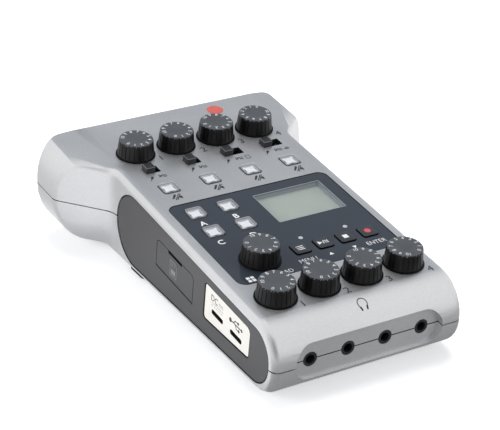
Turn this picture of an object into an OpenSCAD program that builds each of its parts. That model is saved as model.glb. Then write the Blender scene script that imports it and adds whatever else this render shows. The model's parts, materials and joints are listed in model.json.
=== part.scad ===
// Four channel table recorder and mixer for speech, with its headphone end at
// the front and its microphone end at the rear. Units are millimetres, +Z is
// up and the origin is on the table under the middle of the body. Inside the
// modules Y counts from the front face and Z from the table.
// The deck is the sloping flat top: deck() puts its children on it, with Y
// along the slope from the front face and Z square to the deck.

/* [Overall size] */
// Depth from the headphone end to the microphone end
body_length = 155; // [150:0.5:165]
// Width across the two sides
body_width = 78.2; // [77.6:0.2:86]
// Width of the flared microphone end
flare_width = 112; // [108:0.5:124]
// Height of the deck above the table at the front face
deck_height = 28; // [27.6:0.2:31]
// Slope of the deck, rising to the rear, in degrees
deck_slope = 5.17; // [5:0.05:6]
// Height of the line where the shells meet, at the front face
seam_height = 13.9; // [13.4:0.1:14.4]
// Slope of that line, in degrees
seam_slope = 3.03; // [2.7:0.05:3.4]
// Height of the rubber feet under the body
foot_height = 1.4; // [1:0.1:1.8]

/* [Shells] */
// Wall of the two shells
wall = 2.2; // [2:0.1:2.4]
// Wall behind the headphone recess and the side covers
backing_wall = 1.8; // [1.5:0.1:2]
// Gap that shows between the shells
seam_gap = 0.4; // [0.2:0.05:0.6]
// Radius of the long edges
edge_radius = 3.3; // [3:0.1:3.8]
// Length of the flared end
flare_length = 35.8; // [35:0.2:38]
// Angle of the flare's slanted sides, from the width
flare_angle = 47; // [45:0.5:48]
// Inner radius where the flare leaves the body side
flare_blend = 9; // [6:0.5:11]
// Width of the rounding under the slanted sides
slant_under = 11; // [8:0.5:11.5]
// Height of the rounding under the slanted sides
slant_under_height = 14; // [11:0.5:15]
// Width of the rounding over the flare's ends
end_over = 12.5; // [9:0.5:13]
// Height of the rounding over the flare's ends
end_over_height = 19; // [16:0.5:19.5]
// Width of the rounding under the flare's ends
end_under = 17; // [12:0.5:18]
// Height of the rounding under the flare's ends
end_under_height = 20; // [16:0.5:20.5]
// Radius over the rear face
rear_over = 4.4; // [3:0.1:5]
// Radius under the rear face
rear_under = 5; // [3.5:0.5:6]
// Corner radius between a slanted side and the flare's end
flare_knee = 4.5; // [3.5:0.5:6]
// Radius of the flare's rear corners
flare_corner = 2.6; // [2:0.2:4]
// Slope of the flare's top, falling from the deck to each end, in degrees
wing_slope = 9; // [5:0.2:9.4]
// Height of the tongue that joins the shells
tongue_height = 1.4; // [0.8:0.1:1.8]
// Thickness of the tongue
tongue_wall = 0.9; // [0.7:0.1:1]
// Gap all round the tongue
tongue_gap = 0.15; // [0.1:0.05:0.25]

/* [Side covers] */
// Thickness of a side cover
cover_thickness = 1.6; // [1.5:0.1:2]
// Gap round a side cover, a door and the port plate
cover_gap = 0.3; // [0.3:0.05:0.4]
// How far a cover's face lies below the shells' sides
cover_sink = 0.2; // [0.1:0.05:0.3]
// Distance from the deck down to a cover's upper edge
cover_drop = 3.5; // [3.3:0.1:4.5]
// Distance from the underside up to a cover's lower edge
cover_rise = 3.2; // [3:0.1:4.5]
// Front end of a cover, from the front face
cover_front = 3.7; // [3.5:0.1:5]
// Rear end of a cover, ahead of the flare
cover_ahead = 3; // [3:0.1:6]
// Length of the memory card door
door_length = 27.6; // [27:0.2:30]
// Height of the memory card door
door_height = 11.4; // [10.4:0.1:12]
// Distance from the deck down to the door
door_drop = 9.85; // [9.6:0.05:10]
// Middle of the door, along the deck
door_s = 69.2; // [68.6:0.2:71]
// Length of the finger notch in the door
notch_length = 10.4; // [8:0.2:14]
// Depth of the finger notch
notch_depth = 1; // [0.6:0.1:1.5]
// Radius of the door's hinge pegs
peg_r = 0.35; // [0.3:0.05:0.4]
// Running clearance of the hinge pegs
peg_clearance = 0.05; // [0.03:0.01:0.08]
// Length of the port plate
port_length = 30.9; // [29:0.1:32]
// Middle of the port plate, along the deck
port_s = 31.3; // [30.5:0.1:32]
// Distance from the deck down to the port plate
port_drop = 6.9; // [6:0.1:8]
// Height of the port plate's lower edge above the underside
port_rise = 9.7; // [9:0.1:10.2]
// Thickness of the port plate
port_thickness = 1.35; // [1:0.05:1.5]
// Distance between the two USB sockets
usb_pitch = 13; // [12:0.1:15]
// Place of the phone socket on the right, along the deck
phone_s = 28; // [26:0.5:31]
// Place of the power switch on the right, along the deck
power_s = 42; // [40:0.5:44]

/* [Deck panel and screen] */
// Width of the dark panel
panel_width = 68; // [66:0.2:70]
// Front edge of the panel, along the deck
panel_from_front = 31.3; // [31:0.1:32]
// Length of the panel
panel_length = 55.5; // [55:0.1:56.5]
// Corner radius of the panel
panel_corner = 3.6; // [2:0.2:5]
// Thickness of the panel
panel_thickness = 1.2; // [1:0.05:1.4]
// How far the panel lies below the deck
panel_sink = 0.25; // [0.15:0.05:0.4]
// Gap round the panel
panel_gap = 0.2; // [0.1:0.05:0.3]
// Width of the ledge that carries the panel
panel_ledge = 1.6; // [1.2:0.1:2]
// Width of the screen window
screen_width = 29; // [27:0.2:30]
// Length of the screen window
screen_length = 20; // [18:0.2:21]
// Middle of the screen, right of the centre line
screen_x = 14.4; // [14:0.1:15.4]
// Middle of the screen, from the panel's rear edge
screen_from_panel_rear = 15; // [14.4:0.1:15.4]
// Thickness of the screen window
window_thickness = 0.8; // [0.6:0.1:1]
// Depth of the screen's face below the deck
screen_depth = 2.4; // [2.2:0.1:3]
// Radius of a status light
light_r = 0.9; // [0.6:0.05:1.3]
// Middle of the two status lights, right of the centre line
light_x = 11; // [10:0.2:12]
// Distance between the status lights
light_pitch = 19.1; // [18:0.1:20]
// Status lights, along the deck
light_from_front = 49.8; // [49.4:0.1:51]

/* [Knobs] */
// Distance between the knobs of a row
knob_pitch = 17.6; // [17.2:0.1:18]
// Radius of a knob's grip
knob_r = 6.8; // [6.4:0.05:7.2]
// Height of a knob's top above the deck
knob_height = 7; // [6.6:0.1:8]
// How far the foot of a knob stands out from its grip
knob_flare = 0.85; // [0.5:0.05:0.9]
// Height of a knob's foot
knob_foot = 0.5; // [0.4:0.1:1]
// How far the grip widens from its top down to the foot
knob_taper = 0.5; // [0.3:0.05:0.6]
// Number of grooves round a knob
knob_grooves = 30; // [20:2:36]
// Radius of a groove
groove_r = 0.45; // [0.3:0.05:0.5]
// Gap under a knob
knob_gap = 0.1; // [0.05:0.05:0.5]
// Radius of a control shaft
shaft_r = 3; // [2.8:0.05:3.1]
// Running clearance of a shaft in its bush
shaft_clearance = 0.05; // [0.03:0.01:0.08]
// Headphone volume knobs, along the deck
volume_from_front = 20.9; // [20.6:0.1:21.2]
// Microphone gain knobs, from the rear along the deck
gain_from_rear = 29.4; // [29:0.1:29.8]
// Pad level knob, from the centre line
pad_level_x = -19.4; // [-20:0.1:-18.8]
// Pad level knob, along the deck
pad_level_from_front = 43.4; // [43:0.1:44]

/* [Keys] */
// Side of a square light key
key_size = 6.5; // [6:0.1:6.7]
// Side of a square key of the panel row
row_key_size = 6.1; // [5.4:0.1:6.3]
// Gap round a key
key_gap = 0.35; // [0.3:0.05:0.4]
// Corner radius of a key
key_corner = 1; // [0.5:0.1:1.6]
// Height of a light key above the deck
key_height = 1; // [0.6:0.1:1.4]
// Height of a row key above the deck
row_key_height = 0.2; // [0:0.1:0.8]
// Travel of a key
key_travel = 0.6; // [0.4:0.05:0.7]
// Width of the rim that keeps a key in
key_rim = 0.9; // [0.7:0.05:1]
// Mute keys, from the rear along the deck
mute_from_rear = 57; // [56.6:0.1:57.4]
// Distance between pads
pad_pitch = 13.4; // [13:0.1:14]
// Middle of the four pads, from the centre line
pads_x = -18.9; // [-19.4:0.1:-18.6]
// Middle of the four pads, from the panel's rear edge
pads_from_panel_rear = 14.3; // [13.8:0.1:14.8]
// Distance between the keys of the panel row
row_pitch = 9.55; // [9.3:0.05:9.7]
// First key of the panel row, from the centre line
row_x = -2.6; // [-3:0.05:-2.4]
// Keys of the panel row, along the deck
row_from_front = 43.4; // [43:0.1:43.8]

/* [Slide switches] */
// Width of a switch cap
cap_size = 3.4; // [3:0.1:3.8]
// Height of a switch cap above the deck
cap_height = 1.9; // [1:0.1:2.4]
// Length of a switch slot along the deck
slot_length = 4.6; // [4.4:0.1:5]
// Travel of a two position switch
short_travel = 2.2; // [1.6:0.1:2.6]
// Travel of a three position switch
long_travel = 4.6; // [3.6:0.1:4.8]
// Gap at each end of a switch's travel
cap_gap = 0.3; // [0.3:0.05:0.5]
// Switches, from the rear along the deck
switch_from_rear = 42.4; // [42.2:0.1:42.6]

/* [Headphone end] */
// Distance between headphone sockets
jack_pitch = 15.3; // [14.4:0.1:15.8]
// Radius of the hole for a 3.5 mm plug
jack_bore_r = 1.8; // [1.77:0.01:1.85]
// Depth of that hole
jack_bore_length = 14; // [13:0.2:15]
// Outer radius of a socket's nose
jack_nose_r = 2.65; // [2.5:0.05:2.9]
// Length of the headphone recess
recess_length = 60.4; // [59:0.2:62]
// Height of the headphone recess
recess_height = 14.4; // [12:0.1:15]
// Depth of the headphone recess from the front face
recess_depth = 2.9; // [2:0.1:3.1]

/* [Microphone end] */
// Distance between microphone sockets
mic_pitch = 26; // [25:0.1:26.4]
// Radius of a microphone socket's barrel
mic_r = 10.8; // [10.6:0.1:11]
// Radius of the round space for a plug's shell
mic_plug_r = 9.5; // [9.4:0.05:9.6]
// Radius of the insulator that the plug's shell goes round
mic_core_r = 7.4; // [7.2:0.05:7.5]
// Depth of that space
mic_plug_depth = 15; // [13:0.5:16]
// Depth of a microphone socket
mic_depth = 19; // [18:0.2:19.4]
// Radius of the holes for the three pins
mic_pin_r = 1.25; // [1.2:0.01:1.35]
// Radius of the circle that the pin holes lie on
mic_pin_circle_r = 4; // [3.6:0.1:4.4]

/* [Batteries] */
// Radius of an AA cell
cell_r = 7.2; // [7:0.05:7.25]
// Length of an AA cell
cell_length = 50.3; // [49.5:0.1:50.5]
// Room for the contacts at each end of a cell
contact_room = 2.8; // [2.4:0.1:3]
// Front of the battery bay, from the front face
bay_from_front = 54; // [53.8:0.1:54.6]
// Wall of the battery bay
bay_wall = 1.1; // [1:0.1:1.2]
// Thickness of the battery cover
bay_cover = 1.8; // [1.5:0.1:1.9]

/* [Inside parts] */
// Thickness of a circuit board
board_thickness = 1.2; // [0.8:0.1:1.3]
// Depth of the control board's face below the deck
board_depth = 9.2; // [9:0.05:9.3]
// Depth of the main board's face below the deck
main_depth = 17.2; // [17:0.1:17.4]
// Side of a potentiometer's case
pot_size = 9.4; // [8.8:0.1:9.8]
// Radius of a case screw's thread
screw_r = 1.25; // [1:0.05:1.4]
// Radius of a case screw's head
screw_head_r = 2; // [1.8:0.1:2.2]
// Length of a case screw under its head
screw_length = 13; // [12:0.5:14]
// Length of the thread that goes into the upper shell
screw_bite = 4.5; // [3:0.5:5.5]
// Radius of a screw post
post_r = 2.9; // [2.7:0.05:3]

/* [Hidden] */
$fn = 64;
sliver = 0.03;
clearance = 0.15;
screw_clearance = 0.2;
stem = 1.6;
boss_r = 2;
cell_offset = cell_r + 0.35;
cell_plate = [9, 0.5];
tact_size = 4.5;
tact_plunger_r = 1.2;
bush_wall = 1.1;
shaft_hole_r = shaft_r + 0.4;
drawn_length = 155;
drawn_width = 78.2;
reach = body_length / drawn_length;
spread = body_width / drawn_width;
side_x = body_width / 2;
flare_x = flare_width / 2;
flare_start = body_length - flare_length;
body_bottom = foot_height;
deck_length = body_length / cos(deck_slope);
nose_up = deck_height - seam_height - 0.8;
nose_down = seam_height - body_bottom - 0.5;
pocket_x = side_x - cover_sink - cover_thickness;
cover_face_x = side_x - cover_sink;
side_wall = side_x - pocket_x + backing_wall;
inner_x = side_x - side_wall;
board_x = inner_x - 1.1;
front_wall = recess_depth + backing_wall;
outside = [0, 0, 0];
cavity = [wall, side_wall, front_wall];
deep = 100;
mid_depth = 16.5;
wing_x = side_x - edge_radius - 0.6;

// The front places on the deck are given for the drawn size and follow the
// real one, and the rear ones keep their distance from the rear edge
volume_s = reach * volume_from_front;
pad_level = [spread * pad_level_x, reach * pad_level_from_front];
row_s = reach * row_from_front;
light_s = reach * light_from_front;
panel_size = [spread * panel_width, reach * panel_length];
panel_front = reach * panel_from_front;
panel_s = panel_front + panel_size.y / 2;
window_size = [spread * screen_width, reach * screen_length];
window_at = [spread * screen_x, panel_front + panel_size.y - reach * screen_from_panel_rear];
pads_s = panel_front + panel_size.y - reach * pads_from_panel_rear;
gain_s = deck_length - gain_from_rear;
mute_s = deck_length - mute_from_rear;
switch_s = deck_length - switch_from_rear;
row4 = [for (i = [0:3]) i - 1.5];
knob_xs = spread * knob_pitch * row4;
jack_xs = spread * jack_pitch * row4;
mic_xs = mic_pitch * row4;
row_xs = [for (i = [0:3]) spread * (row_x + i * row_pitch)];
pad_places = [for (v = [0.5, -0.5], u = [-0.5, 0.5])
  [spread * pads_x + u * pad_pitch, pads_s + v * reach * pad_pitch]];
knob_places = concat(
  [for (x = knob_xs) [x, volume_s]], [for (x = knob_xs) [x, gain_s]], [pad_level]);
key_places = concat(
  [for (x = knob_xs) [x, mute_s]], pad_places, [for (x = row_xs) [x, row_s]]);
light_xs = spread * [light_x - light_pitch / 2, light_x + light_pitch / 2];
travels = [short_travel, short_travel, long_travel, long_travel];
jack_z = seam_height + 0.15;
jack_length = jack_bore_length + 2;
jack_body = [6, 5];
mic_z = seam_height + body_length * tan(seam_slope) - 0.6;

key_rim_top = -wall - 0.5;
key_rim_foot = key_rim_top - 0.8;
key_foot = key_rim_foot - 0.8;
tact_top = key_foot - key_travel - 0.2;
bush_top = -wall - 0.3;
shaft_foot = 1 - board_depth;
shaft_top = knob_height - 2.4;
cap_foot = -wall - 2.4;
stem_foot = cap_foot - 0.9;

bay_width = cell_length + 2 * contact_room;
bay_length = 4 * cell_r + 3;
bay_front = reach * bay_from_front;
bay_middle = bay_front + bay_length / 2;
cell_z = body_bottom + wall + 0.1 + cell_r;
bay_top = cell_z + cell_r + 0.2;
bay_lip = 1;
door_thickness = cover_thickness - cover_gap;
door_axis_x = cover_face_x - door_thickness / 2;
door_axis_h = door_thickness / 2 - door_drop - door_height;
usb_size = [8.9, 3.2];
usb_mouth = [8, 2];
usb_h = usb_size.y / 2 - main_depth;
usb_places = [port_s - usb_pitch / 2, port_s + usb_pitch / 2];
phone_h = jack_body.y / 2 - main_depth;
power_h = 2.4 - main_depth;
power_travel = 2;
power_slot = [cap_size + 2 * (power_travel + cap_gap), cap_size + 2 * cap_gap];
card_size = [27.4, 28.6, 2.8];
card_slot = [24.4, 25, 2.2];
card_h = -board_depth - board_thickness;
post_x = side_x - 7.7;
post_from_front = 12.2;
post_places = [
  [post_x, reach * post_from_front], [post_x, bay_front + bay_length + 5], [post_x + 1.8, flare_start - 0.6]];
board_front = post_places[0].y - post_r - 1.8;
foot_width = 7;
foot_length = 14;
foot_room = post_places[2].y - post_places[1].y - 2 * (screw_head_r + screw_clearance) - 1;
foot_size = [foot_width, min(foot_length, foot_room)];
foot_sink = 0.4;
foot_x = side_x - 5.6;
foot_from_front = 22;
foot_places = [[foot_x, reach * foot_from_front], [foot_x, (post_places[1].y + post_places[2].y) / 2]];
boss_places = [[post_x + 0.1, volume_s + pot_size / 2 + boss_r + 0.8], [post_x + 0.6, flare_start - 12.7]];
main_length = 31;
main_from_front = 35;
main_gap = 1.3;
main_size = [2 * (inner_x - main_gap), reach * main_length];
main_s = reach * main_from_front;

// Heights, and the two ways to place things

function deck_z(y) = deck_height + y * tan(deck_slope);
function seam_z(y) = seam_height + y * tan(seam_slope);
function deck_point(s, h) =
  [s * cos(deck_slope) - h * sin(deck_slope), deck_height + s * sin(deck_slope) + h * cos(deck_slope)];
function screw_seat(y) = seam_z(y) + screw_bite - screw_length;
function mix(a, b, t) = a + (b - a) * t;

module placed() {
  translate([0, -body_length / 2, 0]) children();
}

module deck(x = 0, s = 0) {
  translate([0, 0, deck_height]) rotate([deck_slope, 0, 0]) translate([x, s, 0]) children();
}

module both_sides() {
  children();
  mirror([1, 0, 0]) children();
}

// Outlines with rounded corners

function round_corner(a, b, c, r, n) =
  let (
    u = (a - b) / norm(a - b),
    v = (c - b) / norm(c - b),
    half = acos(u * v) / 2,
    middle = b + (u + v) / norm(u + v) * r / sin(half),
    from = b + u * r / tan(half) - middle,
    to = b + v * r / tan(half) - middle,
    start = atan2(from.y, from.x),
    sweep = (atan2(to.y, to.x) - start + 540) % 360 - 180
  )
  [for (i = [0:n]) middle + r * [cos(start + sweep * i / n), sin(start + sweep * i / n)]];

function rounded(points, radii, n = 8) =
  let (m = len(points))
  [for (i = [0:m - 1])
    each round_corner(points[(i + m - 1) % m], points[i], points[(i + 1) % m], radii[i], n)];

function slab_outline(w, l, r) =
  rounded([[-w, -l] / 2, [w, -l] / 2, [w, l] / 2, [-w, l] / 2], [r, r, r, r]);

module slab(w, l, r, low, high) {
  translate([0, 0, low]) linear_extrude(high - low) polygon(slab_outline(w, l, r));
}

module block(w, l, low, high) {
  translate([-w / 2, -l / 2, low]) cube([w, l, high - low]);
}

// A block with upright edges rounded, for the shells' openings
module soft_block(w, l, r, low, high) {
  translate([0, 0, low]) hull() for (u = [-1, 1], v = [-1, 1])
    translate([u * (w / 2 - r), v * (l / 2 - r), 0]) cylinder(r = r, h = high - low);
}

// Draws an outline of Y and Z, thick from x0 to x1
module sideways(points, x0, x1) {
  translate([x0, 0, 0]) rotate([90, 0, 90]) linear_extrude(x1 - x0) polygon(points);
}

// The shells: rings of one outline, each at its own depth below the deck or
// height above the underside, with the edges rounded from ring to ring

function round_in(a, b, e) = e >= b ? 0 : a - a * sqrt(1 - pow((b - e) / b, 2));
function at_least(v) = max(v, 0.4);

function nose_corner(x, y, nose, r, e, n) =
  let (turn = e < r ? acos(1 - e / r) : 90, left = max(0, nose - e))
  [for (i = [0:n])
    let (t = turn * i / n)
    [x - r + r * sin(t), y + nose - sqrt(max(0, pow(nose - r * (1 - cos(t)), 2) - left * left))]];

function half_outline(e, upper, skin) =
  let (
    w = skin[0],
    r = at_least(edge_radius - w),
    back_r = at_least((upper ? rear_over : rear_under) - w),
    side = side_x - skin[1] - round_in(r, r, e),
    slant = upper ? round_in(r, r, e) : round_in(slant_under - w, slant_under_height - w, e),
    end = upper ? round_in(end_over - w, end_over_height - w, e)
      : round_in(end_under - w, end_under_height - w, e),
    end_x = flare_x - w - end,
    lift = flare_start - side_x * tan(flare_angle) + (w + slant) / cos(flare_angle),
    turn_at = [side, lift + side * tan(flare_angle)],
    knee_at = [end_x, lift + end_x * tan(flare_angle)],
    corner_at = [end_x, body_length - w - round_in(back_r, back_r, e)],
    run = norm(knee_at - turn_at),
    room = corner_at.y - knee_at.y,
    half_turn = (90 - flare_angle) / 2,
    blend = min(flare_blend + side_x - side, 0.6 * run / tan(half_turn)),
    knee = min(at_least(flare_knee - w), 0.8 * room, 0.35 * run / tan(half_turn)),
    corner = min(at_least(flare_corner - w), 0.6 * room),
    nose = (upper ? nose_up : nose_down) - skin[2]
  )
  concat(
    nose_corner(side_x - skin[1], skin[2], nose, r, e, 8),
    round_corner([side, 0], turn_at, knee_at, blend, 6),
    round_corner(turn_at, knee_at, corner_at, knee, 5),
    round_corner(knee_at, corner_at, [0, corner_at.y], corner, 6));

function ring(e, upper, skin) =
  let (right = half_outline(e, upper, skin))
  concat(right, [for (i = [len(right) - 1:-1:0]) [-right[i].x, right[i].y]]);

function top_ring(e, skin) =
  let (sink = skin[0])
  [for (p = ring(e, true, skin)) [p.x, p.y, deck_z(p.y) - sink - e]];

function base_ring(e, skin) =
  [for (p = ring(e, false, skin)) [p.x, p.y, body_bottom + skin[0] + e]];

function seam_ring(rise, skin) =
  [for (p = ring(deep, true, skin)) [p.x, p.y, seam_z(p.y) + rise]];

// Half way from the last level ring to the seam
function mid_ring(upper, skin) =
  [for (p = ring(mid_depth, upper, skin))
    let (
      far = upper ? deck_z(p.y) - skin[0] - nose_up + skin[2] : body_bottom + skin[0] + nose_down - skin[2],
      near = seam_z(p.y) + (upper ? 0.5 : -0.5) * seam_gap
    )
    [p.x, p.y, mix(far, near, 0.5)]];

// Depths of the rings: close together over the small edge radius, then on
// over the big radius of the nose
function depths(r, nose, few, more) = concat(
  [sliver],
  [for (i = [1:few]) r * (1 - cos(90 * i / few))],
  [for (i = [1:more]) nose * (1 - cos(mix(acos(1 - r / nose), 90, i / more)))]);

function backwards(list) = [for (i = [len(list) - 1:-1:0]) list[i]];

module loft(rings) {
  n = len(rings[0]);
  m = len(rings);
  sides = [for (i = [0:m - 2], j = [0:n - 1])
    let (a = i * n + j, b = i * n + (j + 1) % n)
    each [[a, b + n, b], [a, a + n, b + n]]];
  polyhedron(
    [for (r = rings) each r],
    concat([[for (j = [0:n - 1]) j]], sides, [[for (j = [n - 1:-1:0]) (m - 1) * n + j]]));
}

module upper_form() {
  groove = cavity - (tongue_wall + tongue_gap) * [1, 1, 1];
  rise = tongue_height + tongue_gap;
  loft(concat(
    [for (e = depths(at_least(edge_radius - wall), nose_up - front_wall, 3, 3)) top_ring(e, cavity)],
    [seam_ring(rise, cavity), seam_ring(rise, groove), seam_ring(seam_gap / 2, groove)],
    [seam_ring(seam_gap / 2, outside), mid_ring(true, outside)],
    [for (e = backwards(depths(edge_radius, nose_up, 8, 5))) top_ring(e, outside)]));
}

module lower_form() {
  tongue = cavity - tongue_wall * [1, 1, 1];
  loft(concat(
    [for (e = depths(edge_radius, nose_down, 8, 5)) base_ring(e, outside)],
    [mid_ring(false, outside), seam_ring(-seam_gap / 2, outside), seam_ring(-seam_gap / 2, tongue)],
    [seam_ring(tongue_height, tongue), seam_ring(tongue_height, cavity)],
    [for (e = backwards(depths(at_least(edge_radius - wall), nose_down - front_wall, 3, 3)))
      base_ring(e, cavity)]));
}

// Outline of a side cover, grown by g
function cover_outline(g) =
  let (
    y0 = cover_front - g,
    y1 = flare_start - cover_ahead + g,
    low = body_bottom + cover_rise - g,
    tall0 = deck_z(y0) - cover_drop + g - low,
    tall1 = deck_z(y1) - cover_drop + g - low,
    r0 = 0.5 * tall0 - 0.1,
    r1 = 0.46 * tall1
  )
  rounded([[y0, low], [y1, low], [y1, low + tall1], [y0, low + tall0]], [r0, r1, r1, r0], 12);

function port_outline(g) =
  let (
    low = body_bottom + port_rise - g,
    front = deck_point(port_s - port_length / 2 - g, g - port_drop),
    rear = deck_point(port_s + port_length / 2 + g, g - port_drop)
  )
  rounded(
    [[front.x + (front.y - low) * tan(deck_slope), low], [rear.x + (rear.y - low) * tan(deck_slope), low],
      rear, front],
    [1.2 + g, 1.5 + g, 1 + g, 2 + g]);

// Outline of the card door on the deck's axes, down to its hinge line, grown
// by g at the sides and the top
function door_outline(g, low) =
  let (half = door_length / 2 + g, top = g - door_drop)
  rounded(
    [[door_s - half, low], [door_s + half, low], [door_s + half, top], [door_s - half, top]],
    [0.4, 0.4, 2 + g, 2 + g]);

module socket_holes() {
  for (x = jack_xs)
    translate([x, 0, jack_z]) rotate([-90, 0, 0]) cylinder(r = jack_nose_r + clearance, h = front_wall + 1);
  for (x = mic_xs)
    translate([x, body_length - wall - 1, mic_z]) rotate([-90, 0, 0])
      cylinder(r = mic_r + clearance, h = wall + 2, $fn = 48);
}

module recess() {
  translate([0, recess_depth, jack_z + 0.1]) rotate([90, 0, 0])
    soft_block(spread * recess_length, recess_height, recess_height / 2 - 0.05,
      0, recess_depth + 1, $fn = 40);
}

module side_cuts() {
  both_sides() sideways(cover_outline(cover_gap), pocket_x, side_x + 3);
  for (s = usb_places)
    deck(-pocket_x, s) translate([0, 0, usb_h]) rotate([90, 0, 90])
      soft_block(usb_size.x + 2 * clearance, usb_size.y + 2 * clearance, usb_size.y / 2,
        -1, backing_wall + 1);
  deck(pocket_x - backing_wall - 1, phone_s) translate([0, 0, phone_h]) rotate([0, 90, 0])
    cylinder(r = jack_nose_r + clearance, h = backing_wall + 2);
  deck(pocket_x, power_s) translate([0, 0, power_h]) rotate([90, 0, 90])
    soft_block(power_slot.x, power_slot.y, 0.5, -backing_wall - 1, 1);
}

module shell_cuts() {
  recess();
  socket_holes();
  side_cuts();
}

module deck_holes() {
  deck(0, panel_s) {
    soft_block(panel_size.x + 2 * panel_gap, panel_size.y + 2 * panel_gap, panel_corner + panel_gap,
      -panel_sink - panel_thickness, 2, $fn = 40);
    soft_block(panel_size.x - 2 * panel_ledge, panel_size.y - 2 * panel_ledge, panel_corner, -wall - 1, 2);
  }
  for (x = knob_xs, s = [volume_s, gain_s])
    deck(x, s) translate([0, 0, -wall - 1]) cylinder(r = shaft_hole_r, h = wall + 2);
  for (x = knob_xs)
    deck(x, mute_s)
      soft_block(key_size + 2 * key_gap, key_size + 2 * key_gap, key_corner + key_gap, -wall - 1, 2);
  for (i = [0:3])
    deck(knob_xs[i], switch_s)
      soft_block(cap_size + travels[i] + 2 * cap_gap, slot_length, 0.5, -wall - 1, 2);
}

module screw_posts(upper) {
  both_sides() for (p = post_places) {
    joint = seam_z(p.y);
    low = upper ? joint + seam_gap / 2 : body_bottom + wall / 2;
    high = upper ? deck_z(p.y) - wall / 2 - 0.5 : joint - seam_gap / 2;
    translate([p.x, p.y, low]) cylinder(r = post_r, h = high - low);
  }
}

// Holes for the thread, and for the head from below up to its seat
module screw_holes(r, head_r) {
  both_sides() for (p = post_places) translate([p.x, p.y, 0]) {
    cylinder(r = r, h = screw_seat(p.y) + screw_length + 0.5);
    cylinder(r = head_r, h = screw_seat(p.y));
  }
}

// The flare's top falls to each end
module wing_cuts() {
  both_sides() deck(wing_x) rotate([0, wing_slope, 0]) cube([flare_width, 2 * body_length, deck_height]);
}

module upper_shell() {
  $fn = 24;
  color([0.70, 0.71, 0.72]) placed() difference() {
    union() {
      upper_form();
      screw_posts(true);
      both_sides() for (p = boss_places)
        deck(p.x, p.y) translate([0, 0, -board_depth]) cylinder(r = boss_r, h = board_depth - wall / 2);
    }
    shell_cuts();
    deck_holes();
    wing_cuts();
    screw_holes(screw_r + 0.05, screw_r);
    deck(-pocket_x, door_s)
      block(2 * backing_wall + 4, card_size.x - 0.8, card_h - card_size.z + 0.2, card_h + 0.3);
  }
}

module bay_box(grow, low, high) {
  translate([0, bay_middle, 0]) block(bay_width + 2 * grow, bay_length + 2 * grow, low, high);
}

module lower_shell() {
  $fn = 24;
  color([0.66, 0.67, 0.68]) placed() difference() {
    union() {
      lower_form();
      screw_posts(false);
      bay_box(bay_wall, body_bottom + wall / 2, bay_top + bay_wall);
      both_sides() for (s = [main_s - 10, main_s + 10]) intersection() {
        deck(inner_x - 5.7, s) translate([0, 0, -main_depth - board_thickness - 20])
          cylinder(r = boss_r, h = 20);
        translate([0, 0, body_bottom + wall / 2]) block(body_width, body_length, 0, 30);
      }
    }
    shell_cuts();
    bay_box(0, body_bottom - 1, bay_top);
    bay_box(bay_lip + cover_gap, body_bottom - 1, body_bottom + bay_cover);
    screw_holes(screw_r + screw_clearance, screw_head_r + screw_clearance);
    both_sides() for (p = foot_places)
      translate([p.x, p.y, 0])
        soft_block(foot_size.x + 0.3, foot_size.y + 0.3, foot_size.x / 2, 0, body_bottom + foot_sink);
  }
}

module side_cover_left() {
  color([0.36, 0.36, 0.38]) placed() mirror([1, 0, 0]) difference() {
    sideways(cover_outline(0), pocket_x, cover_face_x);
    sideways(port_outline(cover_gap), pocket_x - 1, side_x);
    deck()
      sideways(door_outline(cover_gap, door_axis_h - door_thickness / 2 - cover_gap), pocket_x - 1, side_x);
    deck(door_axis_x, door_s) translate([0, 0, door_axis_h]) rotate([90, 0, 0])
      cylinder(r = peg_r + peg_clearance, h = door_length + 3, center = true);
  }
}

module side_cover_right() {
  color([0.36, 0.36, 0.38]) placed() difference() {
    sideways(cover_outline(0), pocket_x, cover_face_x);
    deck(pocket_x - 1, phone_s) translate([0, 0, phone_h]) rotate([0, 90, 0])
      cylinder(r = jack_nose_r + clearance, h = cover_thickness + 2);
    deck(pocket_x - 1, power_s) translate([0, 0, power_h])
      sideways(slab_outline(power_slot.x, power_slot.y, 0.5), 0, cover_thickness + 2);
  }
}

module card_door() {
  color([0.34, 0.34, 0.36]) placed() mirror([1, 0, 0]) difference() {
    union() {
      deck() sideways(door_outline(0, door_axis_h), cover_face_x - door_thickness, cover_face_x);
      deck(door_axis_x, door_s) translate([0, 0, door_axis_h]) rotate([90, 0, 0]) {
        cylinder(r = door_thickness / 2 - 0.02, h = door_length, center = true);
        cylinder(r = peg_r, h = door_length + 2 * cover_gap + 1.6, center = true);
      }
    }
    deck(cover_face_x, door_s)
      block(2 * door_thickness + 1, notch_length, -door_drop - notch_depth, 2 - door_drop);
  }
}

module port_plate() {
  color([0.86, 0.85, 0.80]) placed() mirror([1, 0, 0]) difference() {
    sideways(port_outline(0), pocket_x, pocket_x + port_thickness);
    for (s = usb_places) deck(pocket_x - 1, s) translate([0, 0, usb_h])
      sideways(slab_outline(usb_mouth.x, usb_mouth.y, usb_mouth.y * 0.45), 0, port_thickness + 2);
  }
}

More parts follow.
